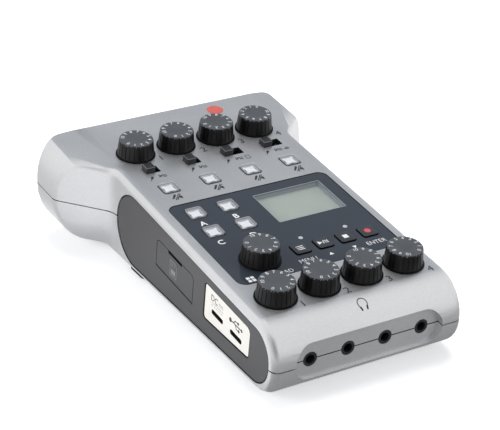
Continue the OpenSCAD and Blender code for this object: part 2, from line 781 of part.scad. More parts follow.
module display_panel() {
  bezel = 1;
  color([0.26, 0.28, 0.31]) placed() difference() {
    union() {
      deck(0, panel_s)
        slab(panel_size.x, panel_size.y, panel_corner, -panel_sink - panel_thickness, -panel_sink);
      deck(window_at.x, window_at.y)
        slab(window_size.x + 2 * bezel, window_size.y + 2 * bezel, 1, -screen_depth, -panel_sink - 0.5);
    }
    deck(window_at.x, window_at.y) {
      slab(window_size.x + 0.1, window_size.y + 0.1, 0.6, -panel_sink - window_thickness, 1);
      slab(window_size.x - 0.6, window_size.y - 0.6, 0.4, -screen_depth - 1, 1);
    }
    deck(pad_level.x, pad_level.y) translate([0, 0, -4]) cylinder(r = shaft_hole_r, h = 6);
    for (p = pad_places)
      deck(p.x, p.y) slab(key_size + 2 * key_gap, key_size + 2 * key_gap, key_corner + key_gap, -3, 1);
    for (x = row_xs)
      deck(x, row_s)
        slab(row_key_size + 2 * key_gap, row_key_size + 2 * key_gap, key_corner + key_gap, -3, 1);
    for (x = light_xs)
      deck(x, light_s) translate([0, 0, -3]) cylinder(r = light_r + 0.1, h = 4);
  }
}

module screen_window() {
  color([0.75, 0.80, 0.80, 0.4]) placed() deck(window_at.x, window_at.y)
    slab(window_size.x, window_size.y, 0.6, -panel_sink - window_thickness, -panel_sink);
}

module screen_module() {
  leg = 2;
  low = -screen_depth - 2.6;
  color([0.62, 0.65, 0.58]) placed() deck(window_at.x, window_at.y) {
    block(window_size.x + 2, window_size.y + 2, low, -screen_depth);
    for (u = [-1, 1], v = [-1, 1])
      translate([u * (window_size.x / 2 - leg), v * (window_size.y / 2 - leg), 0])
          block(leg, leg, -board_depth, low);
  }
}

module status_lights() {
  color([0.92, 0.93, 0.90]) placed() for (x = light_xs)
    deck(x, light_s) translate([0, 0, -board_depth]) cylinder(r = light_r, h = board_depth - panel_sink);
}

module control_board() {
  rear = body_length - mic_depth - 2;
  color([0.10, 0.32, 0.20]) placed() difference() {
    deck() translate([-board_x, board_front, -board_depth - board_thickness])
      cube([2 * board_x, rear - board_front, board_thickness]);
    both_sides() for (p = post_places) translate([p.x, p.y, 0]) cylinder(r = post_r + 0.4, h = deep);
  }
}

module main_board() {
  color([0.10, 0.32, 0.20]) placed() deck(0, main_s)
    block(main_size.x, main_size.y, -main_depth - board_thickness, -main_depth);
}

module potentiometers() {
  case_top = bush_top - 1.2;
  color([0.55, 0.56, 0.58]) placed() for (p = knob_places) deck(p.x, p.y) difference() {
    union() {
      block(pot_size, pot_size, -board_depth, case_top);
      translate([0, 0, case_top - 0.5]) cylinder(r = shaft_r + bush_wall, h = bush_top - case_top + 0.5);
    }
    translate([0, 0, shaft_foot - 0.3]) cylinder(r = shaft_r + shaft_clearance, h = board_depth);
  }
}

module tact_switches() {
  color([0.16, 0.16, 0.17]) placed() for (p = key_places) deck(p.x, p.y) {
    block(tact_size, tact_size, -board_depth, tact_top - 0.9);
    translate([0, 0, tact_top - 1]) cylinder(r = tact_plunger_r, h = 1);
  }
}

module switch_bodies() {
  color([0.20, 0.20, 0.21]) placed() {
    for (i = [0:3]) deck(knob_xs[i], switch_s) difference() {
      block(10.4, 5.2, -board_depth, cap_foot - 0.3);
      block(travels[i] + stem + 2 * cap_gap, stem + 2 * cap_gap, stem_foot - 0.3, 0);
    }
    deck(inner_x - 4.8, power_s) difference() {
      block(5, 10.4, -main_depth, power_h + 2.4);
      translate([2.5, 0, 0])
        block(2.4, 2 * power_travel + stem + 2 * cap_gap,
          power_h - stem / 2 - cap_gap, power_h + stem / 2 + cap_gap);
    }
  }
}

module card_socket() {
  card_x = pocket_x - backing_wall - 0.4 - card_size.y / 2;
  color([0.72, 0.73, 0.74]) placed() deck(-card_x, door_s) difference() {
    block(card_size.y, card_size.x, card_h - card_size.z, card_h);
    translate([-2, 0, card_h - card_size.z + 0.3]) block(card_slot.y + 1, card_slot.x, 0, card_slot.z);
  }
}

module usb_sockets() {
  depth = 7.6;
  color([0.74, 0.75, 0.76]) placed() for (s = usb_places) deck(-pocket_x, s) translate([0, 0, usb_h]) {
    difference() {
      sideways(slab_outline(usb_size.x, usb_size.y, usb_size.y * 0.45), 0, depth);
      sideways(slab_outline(usb_mouth.x, usb_mouth.y, usb_mouth.y * 0.45), -1, depth - 1);
    }
    sideways(slab_outline(6.6, 0.7, 0.1), 1, depth - 0.5);
  }
}

// A socket for a 3.5 mm plug, its mouth at the origin and its hole along -Z
module plug_socket(nose) {
  difference() {
    union() {
      translate([0, 0, -nose - 0.5]) cylinder(r = jack_nose_r, h = nose + 0.5);
      block(jack_body.x, jack_body.y, -jack_length, -nose);
    }
    translate([0, 0, -jack_bore_length]) cylinder(r = jack_bore_r, h = jack_bore_length + 1);
  }
}

module headphone_sockets() {
  color([0.10, 0.10, 0.11]) placed() for (x = jack_xs)
    translate([x, recess_depth, jack_z]) rotate([90, 0, 0]) plug_socket(backing_wall + 0.1);
}

module phone_socket() {
  color([0.10, 0.10, 0.11]) placed() deck(cover_face_x - 0.1, phone_s) translate([0, 0, phone_h])
    rotate([90, 0, 90]) plug_socket(cover_thickness + backing_wall);
}

module microphone_sockets() {
  color([0.13, 0.13, 0.14]) placed() for (x = mic_xs)
    translate([x, body_length, mic_z]) rotate([-90, 0, 0]) difference() {
      translate([0, 0, -mic_depth]) cylinder(r = mic_r, h = mic_depth);
      translate([0, 0, -mic_plug_depth]) difference() {
        cylinder(r = mic_plug_r, h = mic_plug_depth + 1);
        cylinder(r = mic_core_r, h = mic_plug_depth - 1.5);
      }
      for (a = [-90, 30, 150])
        rotate([0, 0, a]) translate([mic_pin_circle_r, 0, -mic_plug_depth])
          cylinder(r = mic_pin_r, h = mic_plug_depth + 1);
    }
}

module battery_cells() {
  nub = 1.3;
  color([0.20, 0.30, 0.50]) placed() for (v = [-1, 1])
    translate([0, bay_middle + v * cell_offset, cell_z]) rotate([0, v * 90, 0])
      translate([0, 0, -cell_length / 2]) {
      cylinder(r = cell_r, h = cell_length - nub);
      cylinder(r = 2.6, h = cell_length);
    }
}

module battery_contacts() {
  color([0.78, 0.74, 0.62]) placed() for (v = [-1, 1])
    translate([0, bay_middle + v * cell_offset, cell_z]) rotate([0, v * 90, 0]) {
      translate([0, 0, bay_width / 2 - cell_plate.y]) block(cell_plate.x, cell_plate.x, 0, cell_plate.y);
      translate([0, 0, cell_length / 2 + 0.05]) cylinder(r = 2, h = contact_room - cell_plate.y);
      translate([0, 0, -bay_width / 2]) block(cell_plate.x, cell_plate.x, 0, cell_plate.y);
      translate([0, 0, -bay_width / 2 + cell_plate.y - 0.05])
        cylinder(r1 = 4, r2 = 2.6, h = contact_room - cell_plate.y);
    }
}

module battery_cover() {
  color([0.62, 0.63, 0.64]) placed() difference() {
    bay_box(bay_lip, body_bottom, body_bottom + bay_cover);
    for (i = [0:4])
      translate([0, bay_front + bay_length - 6 + 1.6 * (i - 2), body_bottom]) block(14, 0.7, -1, 0.4);
  }
}

module rubber_feet() {
  color([0.12, 0.12, 0.12]) placed() both_sides() for (p = foot_places)
    translate([p.x, p.y, 0])
      slab(foot_size.x, foot_size.y, foot_size.x / 2 - 0.1, 0, foot_height + foot_sink);
}

module case_screws() {
  head = 1.6;
  color([0.30, 0.30, 0.31]) placed() both_sides() for (p = post_places)
    translate([p.x, p.y, screw_seat(p.y)]) difference() {
      union() {
        translate([0, 0, -head]) cylinder(r = screw_head_r, h = head);
        cylinder(r = screw_r, h = screw_length);
      }
      block(2.6, 0.7, -head - 1, 0.9 - head);
      block(0.7, 2.6, -head - 1, 0.9 - head);
    }
}

module power_switch() {
  color([0.12, 0.12, 0.12]) placed() deck(0, power_s) {
    translate([cover_face_x - 1, 0, 0]) block(3.6, cap_size, power_h - cap_size / 2, power_h + cap_size / 2);
    translate([inner_x - 0.1, 0, 0])
      block(5.4, stem, power_h - stem / 2, power_h + stem / 2);
  }
}

// A knob on the deck: a wide foot, a grooved grip and a dished top
module knob(x, s) {
  rim = 0.5;
  dish = 0.25;
  color([0.17, 0.17, 0.18]) placed() deck(x, s) difference() {
    rotate_extrude() polygon([
      [0, knob_gap], [knob_r + knob_flare, knob_gap], [knob_r + knob_flare, knob_gap + knob_foot],
      [knob_r + knob_taper, knob_gap + knob_foot + 0.3], [knob_r - 0.15, knob_height - rim],
      [knob_r - rim, knob_height], [knob_r - rim - 0.3, knob_height],
      [knob_r - rim - 0.6, knob_height - dish],
      [0, knob_height - dish]]);
    translate([0, 0, -1]) cylinder(r = shaft_r + 0.03, h = shaft_top + 1);
    for (i = [0:knob_grooves - 1])
      rotate([0, 0, i * 360 / knob_grooves])
        translate([knob_r + groove_r / 2, 0, knob_gap + knob_foot + 0.7])
          cylinder(r = groove_r, h = knob_height);
  }
}

module shaft(x, s) {
  color([0.60, 0.61, 0.62]) placed() deck(x, s)
    translate([0, 0, shaft_foot]) cylinder(r = shaft_r, h = shaft_top - shaft_foot);
}

// A key: its cap in the hole, the rim under the deck and the stem that
// presses the switch
module key(place, size, height) {
  placed() deck(place.x, place.y) {
    slab(size, size, key_corner, key_rim_foot, height);
    slab(size + 2 * key_rim, size + 2 * key_rim, key_corner, key_rim_foot, key_rim_top);
    block(3, 3, key_foot, key_rim_foot + 0.1);
  }
}

module mute_key(i) {
  color([0.88, 0.89, 0.88]) key([knob_xs[i - 1], mute_s], key_size, key_height);
}

module pad_key(i) {
  color([0.80, 0.82, 0.82]) key(pad_places[i - 1], key_size, key_height);
}

module row_key(i) {
  color([0.34, 0.35, 0.36]) key([row_xs[i - 1], row_s], row_key_size, row_key_height);
}

module input_switch(i) {
  color([0.13, 0.13, 0.13]) placed() deck(knob_xs[i - 1] - travels[i - 1] / 2, switch_s) {
    slab(cap_size, cap_size, 0.3, cap_foot, cap_height);
    block(stem, stem, stem_foot, cap_foot + 0.1);
  }
}

upper_shell();
lower_shell();
side_cover_left();
side_cover_right();
card_door();
port_plate();
display_panel();
screen_window();
screen_module();
status_lights();
control_board();
main_board();
potentiometers();
tact_switches();
switch_bodies();
card_socket();
usb_sockets();
phone_socket();
headphone_sockets();
microphone_sockets();
battery_cells();
battery_contacts();
battery_cover();
rubber_feet();
case_screws();
power_switch();
for (i = [0:3]) {
  knob(knob_xs[i], volume_s);
  shaft(knob_xs[i], volume_s);
  knob(knob_xs[i], gain_s);
  shaft(knob_xs[i], gain_s);
  mute_key(i + 1);
  pad_key(i + 1);
  input_switch(i + 1);
}
knob(pad_level.x, pad_level.y);  // pad_level_knob
shaft(pad_level.x, pad_level.y);  // pad_level_shaft
row_key(1);  // menu_key
row_key(2);  // play_key
row_key(3);  // stop_key
row_key(4);  // record_key
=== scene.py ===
# %% [markdown]
# # A four channel podcast recorder
# The real thing is a small mixer for a table top: two silver painted shells, a dark cover on each
# flank, a glossy panel with a screen, nine ribbed knobs and rows of keys. Its solids come packed
# from the CAD model, at their true places and in metres. This lesson dresses them: some get only a
# smoother skin and a finish, and the parts that a hand touches are modelled anew over their solids.

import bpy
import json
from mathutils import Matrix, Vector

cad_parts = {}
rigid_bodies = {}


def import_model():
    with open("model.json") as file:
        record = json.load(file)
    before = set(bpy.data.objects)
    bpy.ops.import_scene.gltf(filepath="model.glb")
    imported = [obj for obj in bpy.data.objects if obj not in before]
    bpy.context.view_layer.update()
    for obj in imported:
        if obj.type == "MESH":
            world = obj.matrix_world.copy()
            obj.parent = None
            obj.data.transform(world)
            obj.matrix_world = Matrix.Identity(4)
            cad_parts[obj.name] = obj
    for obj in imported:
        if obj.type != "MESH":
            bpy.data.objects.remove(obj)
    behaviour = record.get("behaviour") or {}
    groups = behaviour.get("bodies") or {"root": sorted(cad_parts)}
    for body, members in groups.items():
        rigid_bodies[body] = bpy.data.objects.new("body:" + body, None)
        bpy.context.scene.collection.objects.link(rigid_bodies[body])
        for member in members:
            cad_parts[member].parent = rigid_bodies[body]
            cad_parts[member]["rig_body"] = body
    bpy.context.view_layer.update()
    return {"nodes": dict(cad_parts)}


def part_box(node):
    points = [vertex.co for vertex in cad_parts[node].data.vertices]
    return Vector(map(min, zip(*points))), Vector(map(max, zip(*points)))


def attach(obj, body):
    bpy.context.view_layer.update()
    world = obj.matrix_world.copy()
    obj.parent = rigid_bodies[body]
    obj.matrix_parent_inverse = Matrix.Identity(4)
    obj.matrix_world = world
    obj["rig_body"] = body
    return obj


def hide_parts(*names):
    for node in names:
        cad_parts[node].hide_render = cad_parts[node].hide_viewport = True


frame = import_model()

import json
import math

import bmesh
import bpy
from mathutils import Matrix, Vector

mm = 0.001

# %% [markdown]
# ## Places on the sloping deck
# Every knob, key and printed mark stands on a deck that rises by a few degrees from the round nose
# to the rear. Each could be placed by hand with its own height, but then no two would agree. One
# matrix does it for all: x to the right, s up the slope from the nose, h off the deck's face.

# %% Deck coordinates
slope = math.radians(5.17)
nose_height = 28.0
half_depth = 77.5


def on_deck(x, s, h=0.0, turn=0.0):
    ahead = s * math.cos(slope) - h * math.sin(slope) - half_depth
    up = nose_height + s * math.sin(slope) + h * math.cos(slope)
    lean = Matrix.Rotation(slope, 4, "X") @ Matrix.Rotation(math.radians(turn), 4, "Z")
    return Matrix.Translation(Vector((x, ahead, up)) * mm) @ lean


print("middle of the deck:", [round(v / mm, 1) for v in on_deck(0, half_depth).translation])

# %% [markdown]
# ## Working by hand, in code
# Blender's operators act on whatever is selected, so a script selects first, just as a hand does.
# These few helpers open a mesh, pick its faces or edges by where they lie, and close it again.

# %% Selecting and editing
def only(*pieces):
    if bpy.context.object and bpy.context.object.mode == "EDIT":
        bpy.ops.object.mode_set(mode="OBJECT")
    bpy.ops.object.select_all(action="DESELECT")
    for piece in pieces:
        piece.select_set(True)
        bpy.context.view_layer.objects.active = piece


def edit(piece):
    only(piece)
    bpy.ops.object.mode_set(mode="EDIT")
    bpy.ops.mesh.select_all(action="SELECT")


def pick(kind, test):
    bpy.ops.mesh.select_mode(type=kind)
    bpy.ops.mesh.select_all(action="DESELECT")
    mesh = bmesh.from_edit_mesh(bpy.context.object.data)
    parts = {"VERT": mesh.verts, "EDGE": mesh.edges, "FACE": mesh.faces}[kind]
    found = [part for part in parts if test(part)]
    for part in found:
        part.select_set(True)
    bmesh.update_edit_mesh(bpy.context.object.data)
    return len(found)


def close():
    bpy.ops.object.mode_set(mode="OBJECT")


def smooth(piece, degrees=32):
    only(piece)
    bpy.ops.object.shade_smooth_by_angle(angle=math.radians(degrees))


def finish_with(piece, kind, **settings):
    only(piece)
    modifier = piece.modifiers.new(kind.lower(), kind)
    for name, value in settings.items():
        setattr(modifier, name, value)
    bpy.ops.object.modifier_apply(modifier=modifier.name)


print("helpers ready")

# %% [markdown]
# ## Bodies of pieces
# A turned piece is drawn as half its section and spun about its axis, like work on a lathe. A key
# or a cap is a block whose upright corners are rounded first and whose upper rim is softened after,
# so that both roundings run into each other cleanly.

# %% Turned and rounded stock
def turned(name, profile, steps=64):
    only()
    bpy.ops.mesh.primitive_plane_add(size=mm, location=(0, 0, 0))
    piece = bpy.context.object
    piece.name = name
    edit(piece)
    bpy.ops.mesh.select_mode(type="VERT")
    bpy.ops.mesh.merge(type="CENTER")
    radius, height = profile[0]
    bpy.ops.transform.translate(value=(radius * mm, 0, height * mm))
    for (r0, z0), (r1, z1) in zip(profile, profile[1:]):
        step = ((r1 - r0) * mm, 0, (z1 - z0) * mm)
        bpy.ops.mesh.extrude_region_move(TRANSFORM_OT_translate={"value": step})
    bpy.ops.mesh.select_all(action="SELECT")
    bpy.ops.mesh.spin(steps=steps, angle=2 * math.pi, center=(0, 0, 0), axis=(0, 0, 1))
    bpy.ops.mesh.select_all(action="SELECT")
    bpy.ops.mesh.remove_doubles(threshold=1e-6)
    bpy.ops.mesh.normals_make_consistent(inside=False)
    close()
    return piece


def upright(edge):
    a, b = (v.co for v in edge.verts)
    return abs(a.z - b.z) > 1e-6 and (a - b).to_2d().length < 1e-7


def rounded_block(name, size, place, corner, rim=0.0, foot=0.0, segments=5):
    only()
    bpy.ops.mesh.primitive_cube_add(size=1, location=Vector(place) * mm)
    piece = bpy.context.object
    piece.name = name
    piece.scale = Vector(size) * mm
    bpy.ops.object.transform_apply(location=True, rotation=True, scale=True)
    top, bottom = (place[2] + size[2] / 2) * mm, (place[2] - size[2] / 2) * mm
    edit(piece)
    pick("EDGE", upright)
    bpy.ops.mesh.bevel(offset=corner * mm, segments=segments, affect="EDGES")
    for width, level in ((rim, top), (foot, bottom)):
        if width:
            pick("EDGE", lambda e: all(abs(v.co.z - level) < 1e-7 for v in e.verts))
            bpy.ops.mesh.bevel(offset=width * mm, segments=3, affect="EDGES")
    close()
    smooth(piece, 35)
    return piece


def copied(master, name, matrix):
    piece = master.copy()
    piece.data = master.data.copy()
    piece.name = name
    bpy.context.scene.collection.objects.link(piece)
    piece.data.transform(matrix)
    return piece


def joined(name, pieces):
    only(*pieces)
    if len(pieces) > 1:
        bpy.ops.object.join()
    pieces[-1].name = name
    return pieces[-1]


print("stock ready")

# %% [markdown]
# ## Shared effects
# Nothing real is one flat colour. Three small node groups give every finish its life: a slow drift
# of tone, a fine grain that catches the light, and the sparkle of metallic paint. They are groups
# because many materials use them, each with its own scale and depth.

# %% Node groups
def new_group(name, inputs, outputs):
    tree = bpy.data.node_groups.new(name, "ShaderNodeTree")
    for label, kind in inputs:
        tree.interface.new_socket(label, in_out="INPUT", socket_type=kind)
    for label, kind in outputs:
        tree.interface.new_socket(label, in_out="OUTPUT", socket_type=kind)
    return tree, tree.nodes.new("NodeGroupInput"), tree.nodes.new("NodeGroupOutput")


place_and_scale = [("Place", "NodeSocketVector"), ("Scale", "NodeSocketFloat")]
one_mask = [("Mask", "NodeSocketFloat")]


def noise_group(name, detail, half_range):
    tree, inside, out = new_group(name, place_and_scale, one_mask)
    noise = tree.nodes.new("ShaderNodeTexNoise")
    noise.inputs["Detail"].default_value = detail
    noise.inputs["Roughness"].default_value = 0.6
    spread = tree.nodes.new("ShaderNodeMapRange")
    spread.inputs["From Min"].default_value = 0.5 - half_range
    spread.inputs["From Max"].default_value = 0.5 + half_range
    tree.links.new(inside.outputs["Place"], noise.inputs["Vector"])
    tree.links.new(inside.outputs["Scale"], noise.inputs["Scale"])
    tree.links.new(noise.outputs["Fac"], spread.inputs["Value"])
    tree.links.new(spread.outputs["Result"], out.inputs["Mask"])
    return tree


tone_drift = noise_group("tone drift", 3.0, 0.22)
fine_grain = noise_group("fine grain", 2.0, 0.3)

flake, flake_in, flake_out = new_group("paint flake", place_and_scale, one_mask)
cells = flake.nodes.new("ShaderNodeTexVoronoi")
split = flake.nodes.new("ShaderNodeSeparateColor")
flake.links.new(flake_in.outputs["Place"], cells.inputs["Vector"])
flake.links.new(flake_in.outputs["Scale"], cells.inputs["Scale"])
flake.links.new(cells.outputs["Color"], split.inputs["Color"])
flake.links.new(split.outputs["Red"], flake_out.inputs["Mask"])
print("groups:", [g.name for g in bpy.data.node_groups])

# %% [markdown]
# ## A material with some depth
# Every finish starts from the same recipe: two close tones mixed by the drift, a roughness that
# wanders a little, and a grain that lifts the surface by a hair. What makes silver paint, satin
# plastic or rubber of it is only the numbers, and the numbers come from looking at the photograph.

# %% The recipe
def material(name, light, dark, rough, grain=0.0, drift_scale=60, grain_scale=2500, metallic=0.0,
             spread=0.06, coat=0.0, flakes=0.0, specular=0.5, **sockets):
    made = bpy.data.materials.new(name)
    made.use_nodes = True
    nodes, links = made.node_tree.nodes, made.node_tree.links
    shader = nodes["Principled BSDF"]
    place = nodes.new("ShaderNodeTexCoord").outputs["Object"]

    def effect(tree, scale):
        node = nodes.new("ShaderNodeGroup")
        node.node_tree = tree
        node.inputs["Scale"].default_value = scale
        links.new(place, node.inputs["Place"])
        return node.outputs["Mask"]

    def between(mask, low, high):
        node = nodes.new("ShaderNodeMapRange")
        node.inputs["To Min"].default_value = low
        node.inputs["To Max"].default_value = high
        links.new(mask, node.inputs["Value"])
        return node.outputs["Result"]

    def both(one, other):
        node = nodes.new("ShaderNodeMath")
        node.operation = "MULTIPLY_ADD"
        node.inputs[1].default_value = 0.5
        half = nodes.new("ShaderNodeMath")
        half.operation = "MULTIPLY"
        half.inputs[1].default_value = 0.5
        links.new(other, half.inputs[0])
        links.new(one, node.inputs[0])
        links.new(half.outputs[0], node.inputs[2])
        return node.outputs[0]

    drift = effect(tone_drift, drift_scale)
    fine = effect(flake if flakes else fine_grain, grain_scale)
    tones = nodes.new("ShaderNodeMix")
    tones.data_type = "RGBA"
    tones.inputs["A"].default_value = (*dark, 1)
    tones.inputs["B"].default_value = (*light, 1)
    links.new(both(drift, fine) if flakes else drift, tones.inputs["Factor"])
    links.new(tones.outputs["Result"], shader.inputs["Base Color"])
    links.new(between(drift, rough - spread / 2, rough + spread / 2), shader.inputs["Roughness"])
    if grain:
        bump = nodes.new("ShaderNodeBump")
        bump.inputs["Strength"].default_value = grain
        bump.inputs["Distance"].default_value = 0.02 * mm
        links.new(fine, bump.inputs["Height"])
        links.new(bump.outputs["Normal"], shader.inputs["Normal"])
    shader.inputs["Metallic"].default_value = metallic
    shader.inputs["Coat Weight"].default_value = coat
    shader.inputs["Specular IOR Level"].default_value = specular
    for label, value in sockets.items():
        shader.inputs[label.replace("_", " ")].default_value = value
    return made


silver = material("silver paint", (0.76, 0.765, 0.775), (0.64, 0.645, 0.66), 0.40, 0.30, 25, 3600,
                  metallic=0.85, flakes=1)
cover_dark = material("satin dark plastic", (0.062, 0.062, 0.066), (0.052, 0.052, 0.056), 0.42, 0.5, 40, 2600)
painted_light_sill = material("painted light sill", (0.13, 0.13, 0.135), (0.11, 0.11, 0.115), 0.5, 0.3, 40)
port_cream = material("cream port plate", (0.90, 0.87, 0.82), (0.86, 0.83, 0.78), 0.38, 0.25, 80)
panel_gloss = material("gloss panel", (0.036, 0.044, 0.058), (0.031, 0.038, 0.051), 0.10, 0.0, 30,
                       spread=0.03)
knob_black = material("knob black", (0.013, 0.013, 0.014), (0.005, 0.005, 0.006), 0.34, 0.5, 120, 3200,
                      spread=0.16, specular=0.26)
knob_top = material("knob top", (0.080, 0.086, 0.093), (0.064, 0.070, 0.077), 0.44, 0.5, 150, 3200,
                    specular=0.4)
numeral_grey = material("numeral print", (0.70, 0.72, 0.74), (0.60, 0.62, 0.64), 0.5, 0.2, 900)
print_dark = material("dark print", (0.030, 0.030, 0.034), (0.020, 0.020, 0.023), 0.45, 0.2, 900)
print_white = material("white print", (0.80, 0.81, 0.82), (0.70, 0.71, 0.72), 0.5, 0.2, 900)
print_red = material("red print", (0.60, 0.125, 0.105), (0.54, 0.11, 0.092), 0.45, 0.2, 300)
sign_grey = material("sign grey", (0.25, 0.25, 0.26), (0.21, 0.21, 0.22), 0.45, 0.2, 300)
port_print = material("port print", (0.06, 0.058, 0.055), (0.045, 0.043, 0.04), 0.45, 0.2, 300)
record_red = material("record print", (0.62, 0.10, 0.11), (0.55, 0.085, 0.09), 0.45, 0.2, 300)
cap_black = material("switch cap", (0.030, 0.031, 0.034), (0.022, 0.023, 0.026), 0.38, 0.4, 200,
                     specular=0.25)
painted_highlight_edge = material("painted highlight edge", (0.20, 0.205, 0.21), (0.12, 0.125, 0.13), 0.35, 0.3, 900)
key_grey = material("row key", (0.036, 0.040, 0.047), (0.028, 0.032, 0.038), 0.36, 0.5, 150)
clear_cap = material("clear cap", (0.62, 0.64, 0.67), (0.56, 0.58, 0.61), 0.24, 0.3, 200, Alpha=0.30)
frosted = material("frosted tray", (0.33, 0.335, 0.35), (0.27, 0.275, 0.29), 0.4, 0.3, 300)
light_guide = material("white light guide", (0.93, 0.94, 0.96), (0.84, 0.86, 0.90), 0.4, 0.3, 300)
lcd_face = material("screen face", (0.37, 0.41, 0.36), (0.33, 0.37, 0.33), 0.35, 0.0, 60)
lcd_frame = material("screen frame", (0.22, 0.25, 0.28), (0.18, 0.21, 0.24), 0.4, 0.2, 200)
pane_highlight = material("painted pane highlight", (0.36, 0.38, 0.42), (0.30, 0.32, 0.36), 0.35, 0.1, 300)
clear_pane = material("clear pane", (0.55, 0.58, 0.60), (0.50, 0.53, 0.55), 0.06, 0.0, 60, spread=0.02,
                      Alpha=0.10)
milky = material("milky light", (0.50, 0.52, 0.53), (0.40, 0.42, 0.44), 0.3, 0.2, 500)
steel = material("plated steel", (0.62, 0.62, 0.61), (0.52, 0.52, 0.51), 0.28, 0.2, 150, metallic=1.0)
socket_black = material("socket black", (0.020, 0.020, 0.021), (0.013, 0.013, 0.014), 0.4, 0.4, 150)
black_and_gap_shade = material("black and painted gap shade", (0.012, 0.012, 0.012), (0.008, 0.008, 0.008), 0.7, 0.3, 150)
shade_black = material("shaded black", (0.006, 0.006, 0.006), (0.003, 0.003, 0.003), 0.6, 0.3, 150,
                       specular=0.08)
rubber = material("foot rubber", (0.022, 0.022, 0.022), (0.014, 0.014, 0.014), 0.75, 0.9, 200, 1800)
board_green = material("board green", (0.020, 0.105, 0.050), (0.012, 0.080, 0.036), 0.35, 0.3, 200)
cell_wrap = material("cell wrap", (0.10, 0.17, 0.30), (0.07, 0.13, 0.25), 0.3, 0.2, 100)
print("finishes:", len(bpy.data.materials))

# %% [markdown]
# ## Skins for the solids that are right
# The shells, covers and sockets already have their true forms, but a CAD mesh is loose triangles,
# and loose triangles can only be shaded flat. A copy whose points are merged can be shaded smooth,
# with its normals weighted so that the large flat faces stay flat. The solid itself is left alone.
# Only the look of the two front feet departs from its solid: it is set further in, because the
# photograph shows no foot at the front corner.

# %% Skins
body_of = {n: o["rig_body"] for n, o in frame["nodes"].items()}


def paint(piece, *finishes):
    piece.data.materials.clear()
    for finish in finishes:
        piece.data.materials.append(finish)


def skin(node, finish, degrees=32):
    solid = frame["nodes"][node]
    piece = bpy.data.objects.new(node + "_skin", solid.data.copy())
    bpy.context.scene.collection.objects.link(piece)
    edit(piece)
    bpy.ops.mesh.remove_doubles(threshold=1e-6)
    close()
    if piece.data.has_custom_normals:
        bpy.ops.mesh.customdata_custom_splitnormals_clear()
    smooth(piece, degrees)
    finish_with(piece, "WEIGHTED_NORMAL", keep_sharp=True, weight=90)
    paint(piece, finish)
    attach(piece, body_of[node])
    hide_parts(node)
    return piece


for node, finish, slot in (
        ("upper_shell", silver, "silver_shell"), ("lower_shell", silver, "silver_shell"),
        ("side_cover_left", cover_dark, "dark_cover"), ("side_cover_right", cover_dark, "dark_cover"),
        ("card_door", cover_dark, "dark_cover"), ("port_plate", port_cream, "port_cream"),
        ("display_panel", panel_gloss, "panel_gloss"), ("battery_cover", silver, "silver_shell"),
        ("headphone_sockets", socket_black, "socket_black"),
        ("microphone_sockets", socket_black, "socket_black"),
        ("phone_socket", socket_black, "socket_black"), ("card_socket", steel, "plated_steel"),
        ("usb_sockets", steel, "plated_steel"), ("rubber_feet", rubber, "foot_rubber"),
        ("case_screws", steel, "screw_steel"), ("power_switch", cap_black, "cap_black")):
    piece = skin(node, finish)
    print(piece.name, len(piece.data.polygons), "faces")
front_feet_y, foot_shift = -30, 4
for point in bpy.data.objects["rubber_feet_skin"].data.vertices:
    if point.co.y < front_feet_y * mm:
        point.co.x -= math.copysign(foot_shift * mm, point.co.x)

# %% [markdown]
# ## Soft ridges on the flare
# The flare's flat top meets its flanks in a rounded ridge that catches a bright line. The solid has
# an edge there. Clearing its sharp mark lets the shading roll over it, which is enough for so small
# a radius, and the shell keeps its size.

# %% Ridges
flare_inner_x, flare_rear_y, flare_top_lean = 37, 75, 0.16
edit(bpy.data.objects["upper_shell_skin"])


def on_ridge(edge):
    at = edge.verts[0].co
    if len(edge.link_faces) != 2 or edge.calc_face_angle_signed(0) <= 0:
        return False
    if abs(at.x) < flare_inner_x * mm or at.y >= flare_rear_y * mm:
        return False
    top, side = sorted((f.normal for f in edge.link_faces), key=lambda n: -n.z)
    return top.z > 0.975 and abs(abs(top.x) - flare_top_lean) < 0.02 and side.z > 0.3


print("ridge edges:", pick("EDGE", on_ridge))
bpy.ops.mesh.mark_sharp(clear=True)
close()

# %% [markdown]
# ## Dark gaps
# What makes a joint between two mouldings read as a joint is the black line in it. The faces inside
# a gap, a slot or a key hole are painted black, a painted shade for the shadow that falls into them.
# They are found by where they lie and which way they look, in the deck's coordinates. The side
# covers also get a narrow rim of painted shade, cut into their outer face, for the shadowed gap
# round them. The sill of the card door's opening is painted paler, a painted light that lifts the
# shade in that gap, because the photograph shows no dark line there.

# %% Black inside the gaps
deck_inverse = on_deck(0, 0).inverted()
seam_start, seam_slope, seam_reach = 13.9, 3.03, 0.25
cover_out, rim_width = 38.7, 0.3


def seam_height(y):
    return seam_start + (y + half_depth) * math.tan(math.radians(seam_slope))


# Painted shade: the chosen faces get a black that stands for the shade in gaps, slots and holes.
def blacken(node, test):
    piece = bpy.data.objects[node + "_skin"]
    if len(piece.data.materials) < 2:
        piece.data.materials.append(black_and_gap_shade)
    found = 0
    for face in piece.data.polygons:
        if test([v / mm for v in face.center], face.normal, deck_inverse @ face.center / mm,
                deck_inverse.to_3x3() @ face.normal,
                [piece.data.vertices[i].co.z / mm for i in face.vertices]):
            face.material_index = 1
            found += 1
    return found


def in_pocket(at, normal):
    return 37.2 < abs(at[0]) < 39.0 and abs(normal.x) < 0.4 and at[1] < 36


def in_hole(deck_at, deck_normal):
    on_top = abs(deck_at.x) < 35.3 and 5 < deck_at.y < 117
    return on_top and -5 < deck_at.z < -0.04 and abs(deck_normal.z) < 0.3


def on_cover_face(normal, middle):
    return abs(normal.x) > 0.995 and abs(middle.x) > cover_out * mm


def round_the_door(middle):
    return 12 * mm < middle.z < 26 * mm and abs(middle.y + 8 * mm) < 17 * mm


def on_sill(at):
    return at.z < 15 and -24 < at.y < 10 and abs(at.x) < 38.89


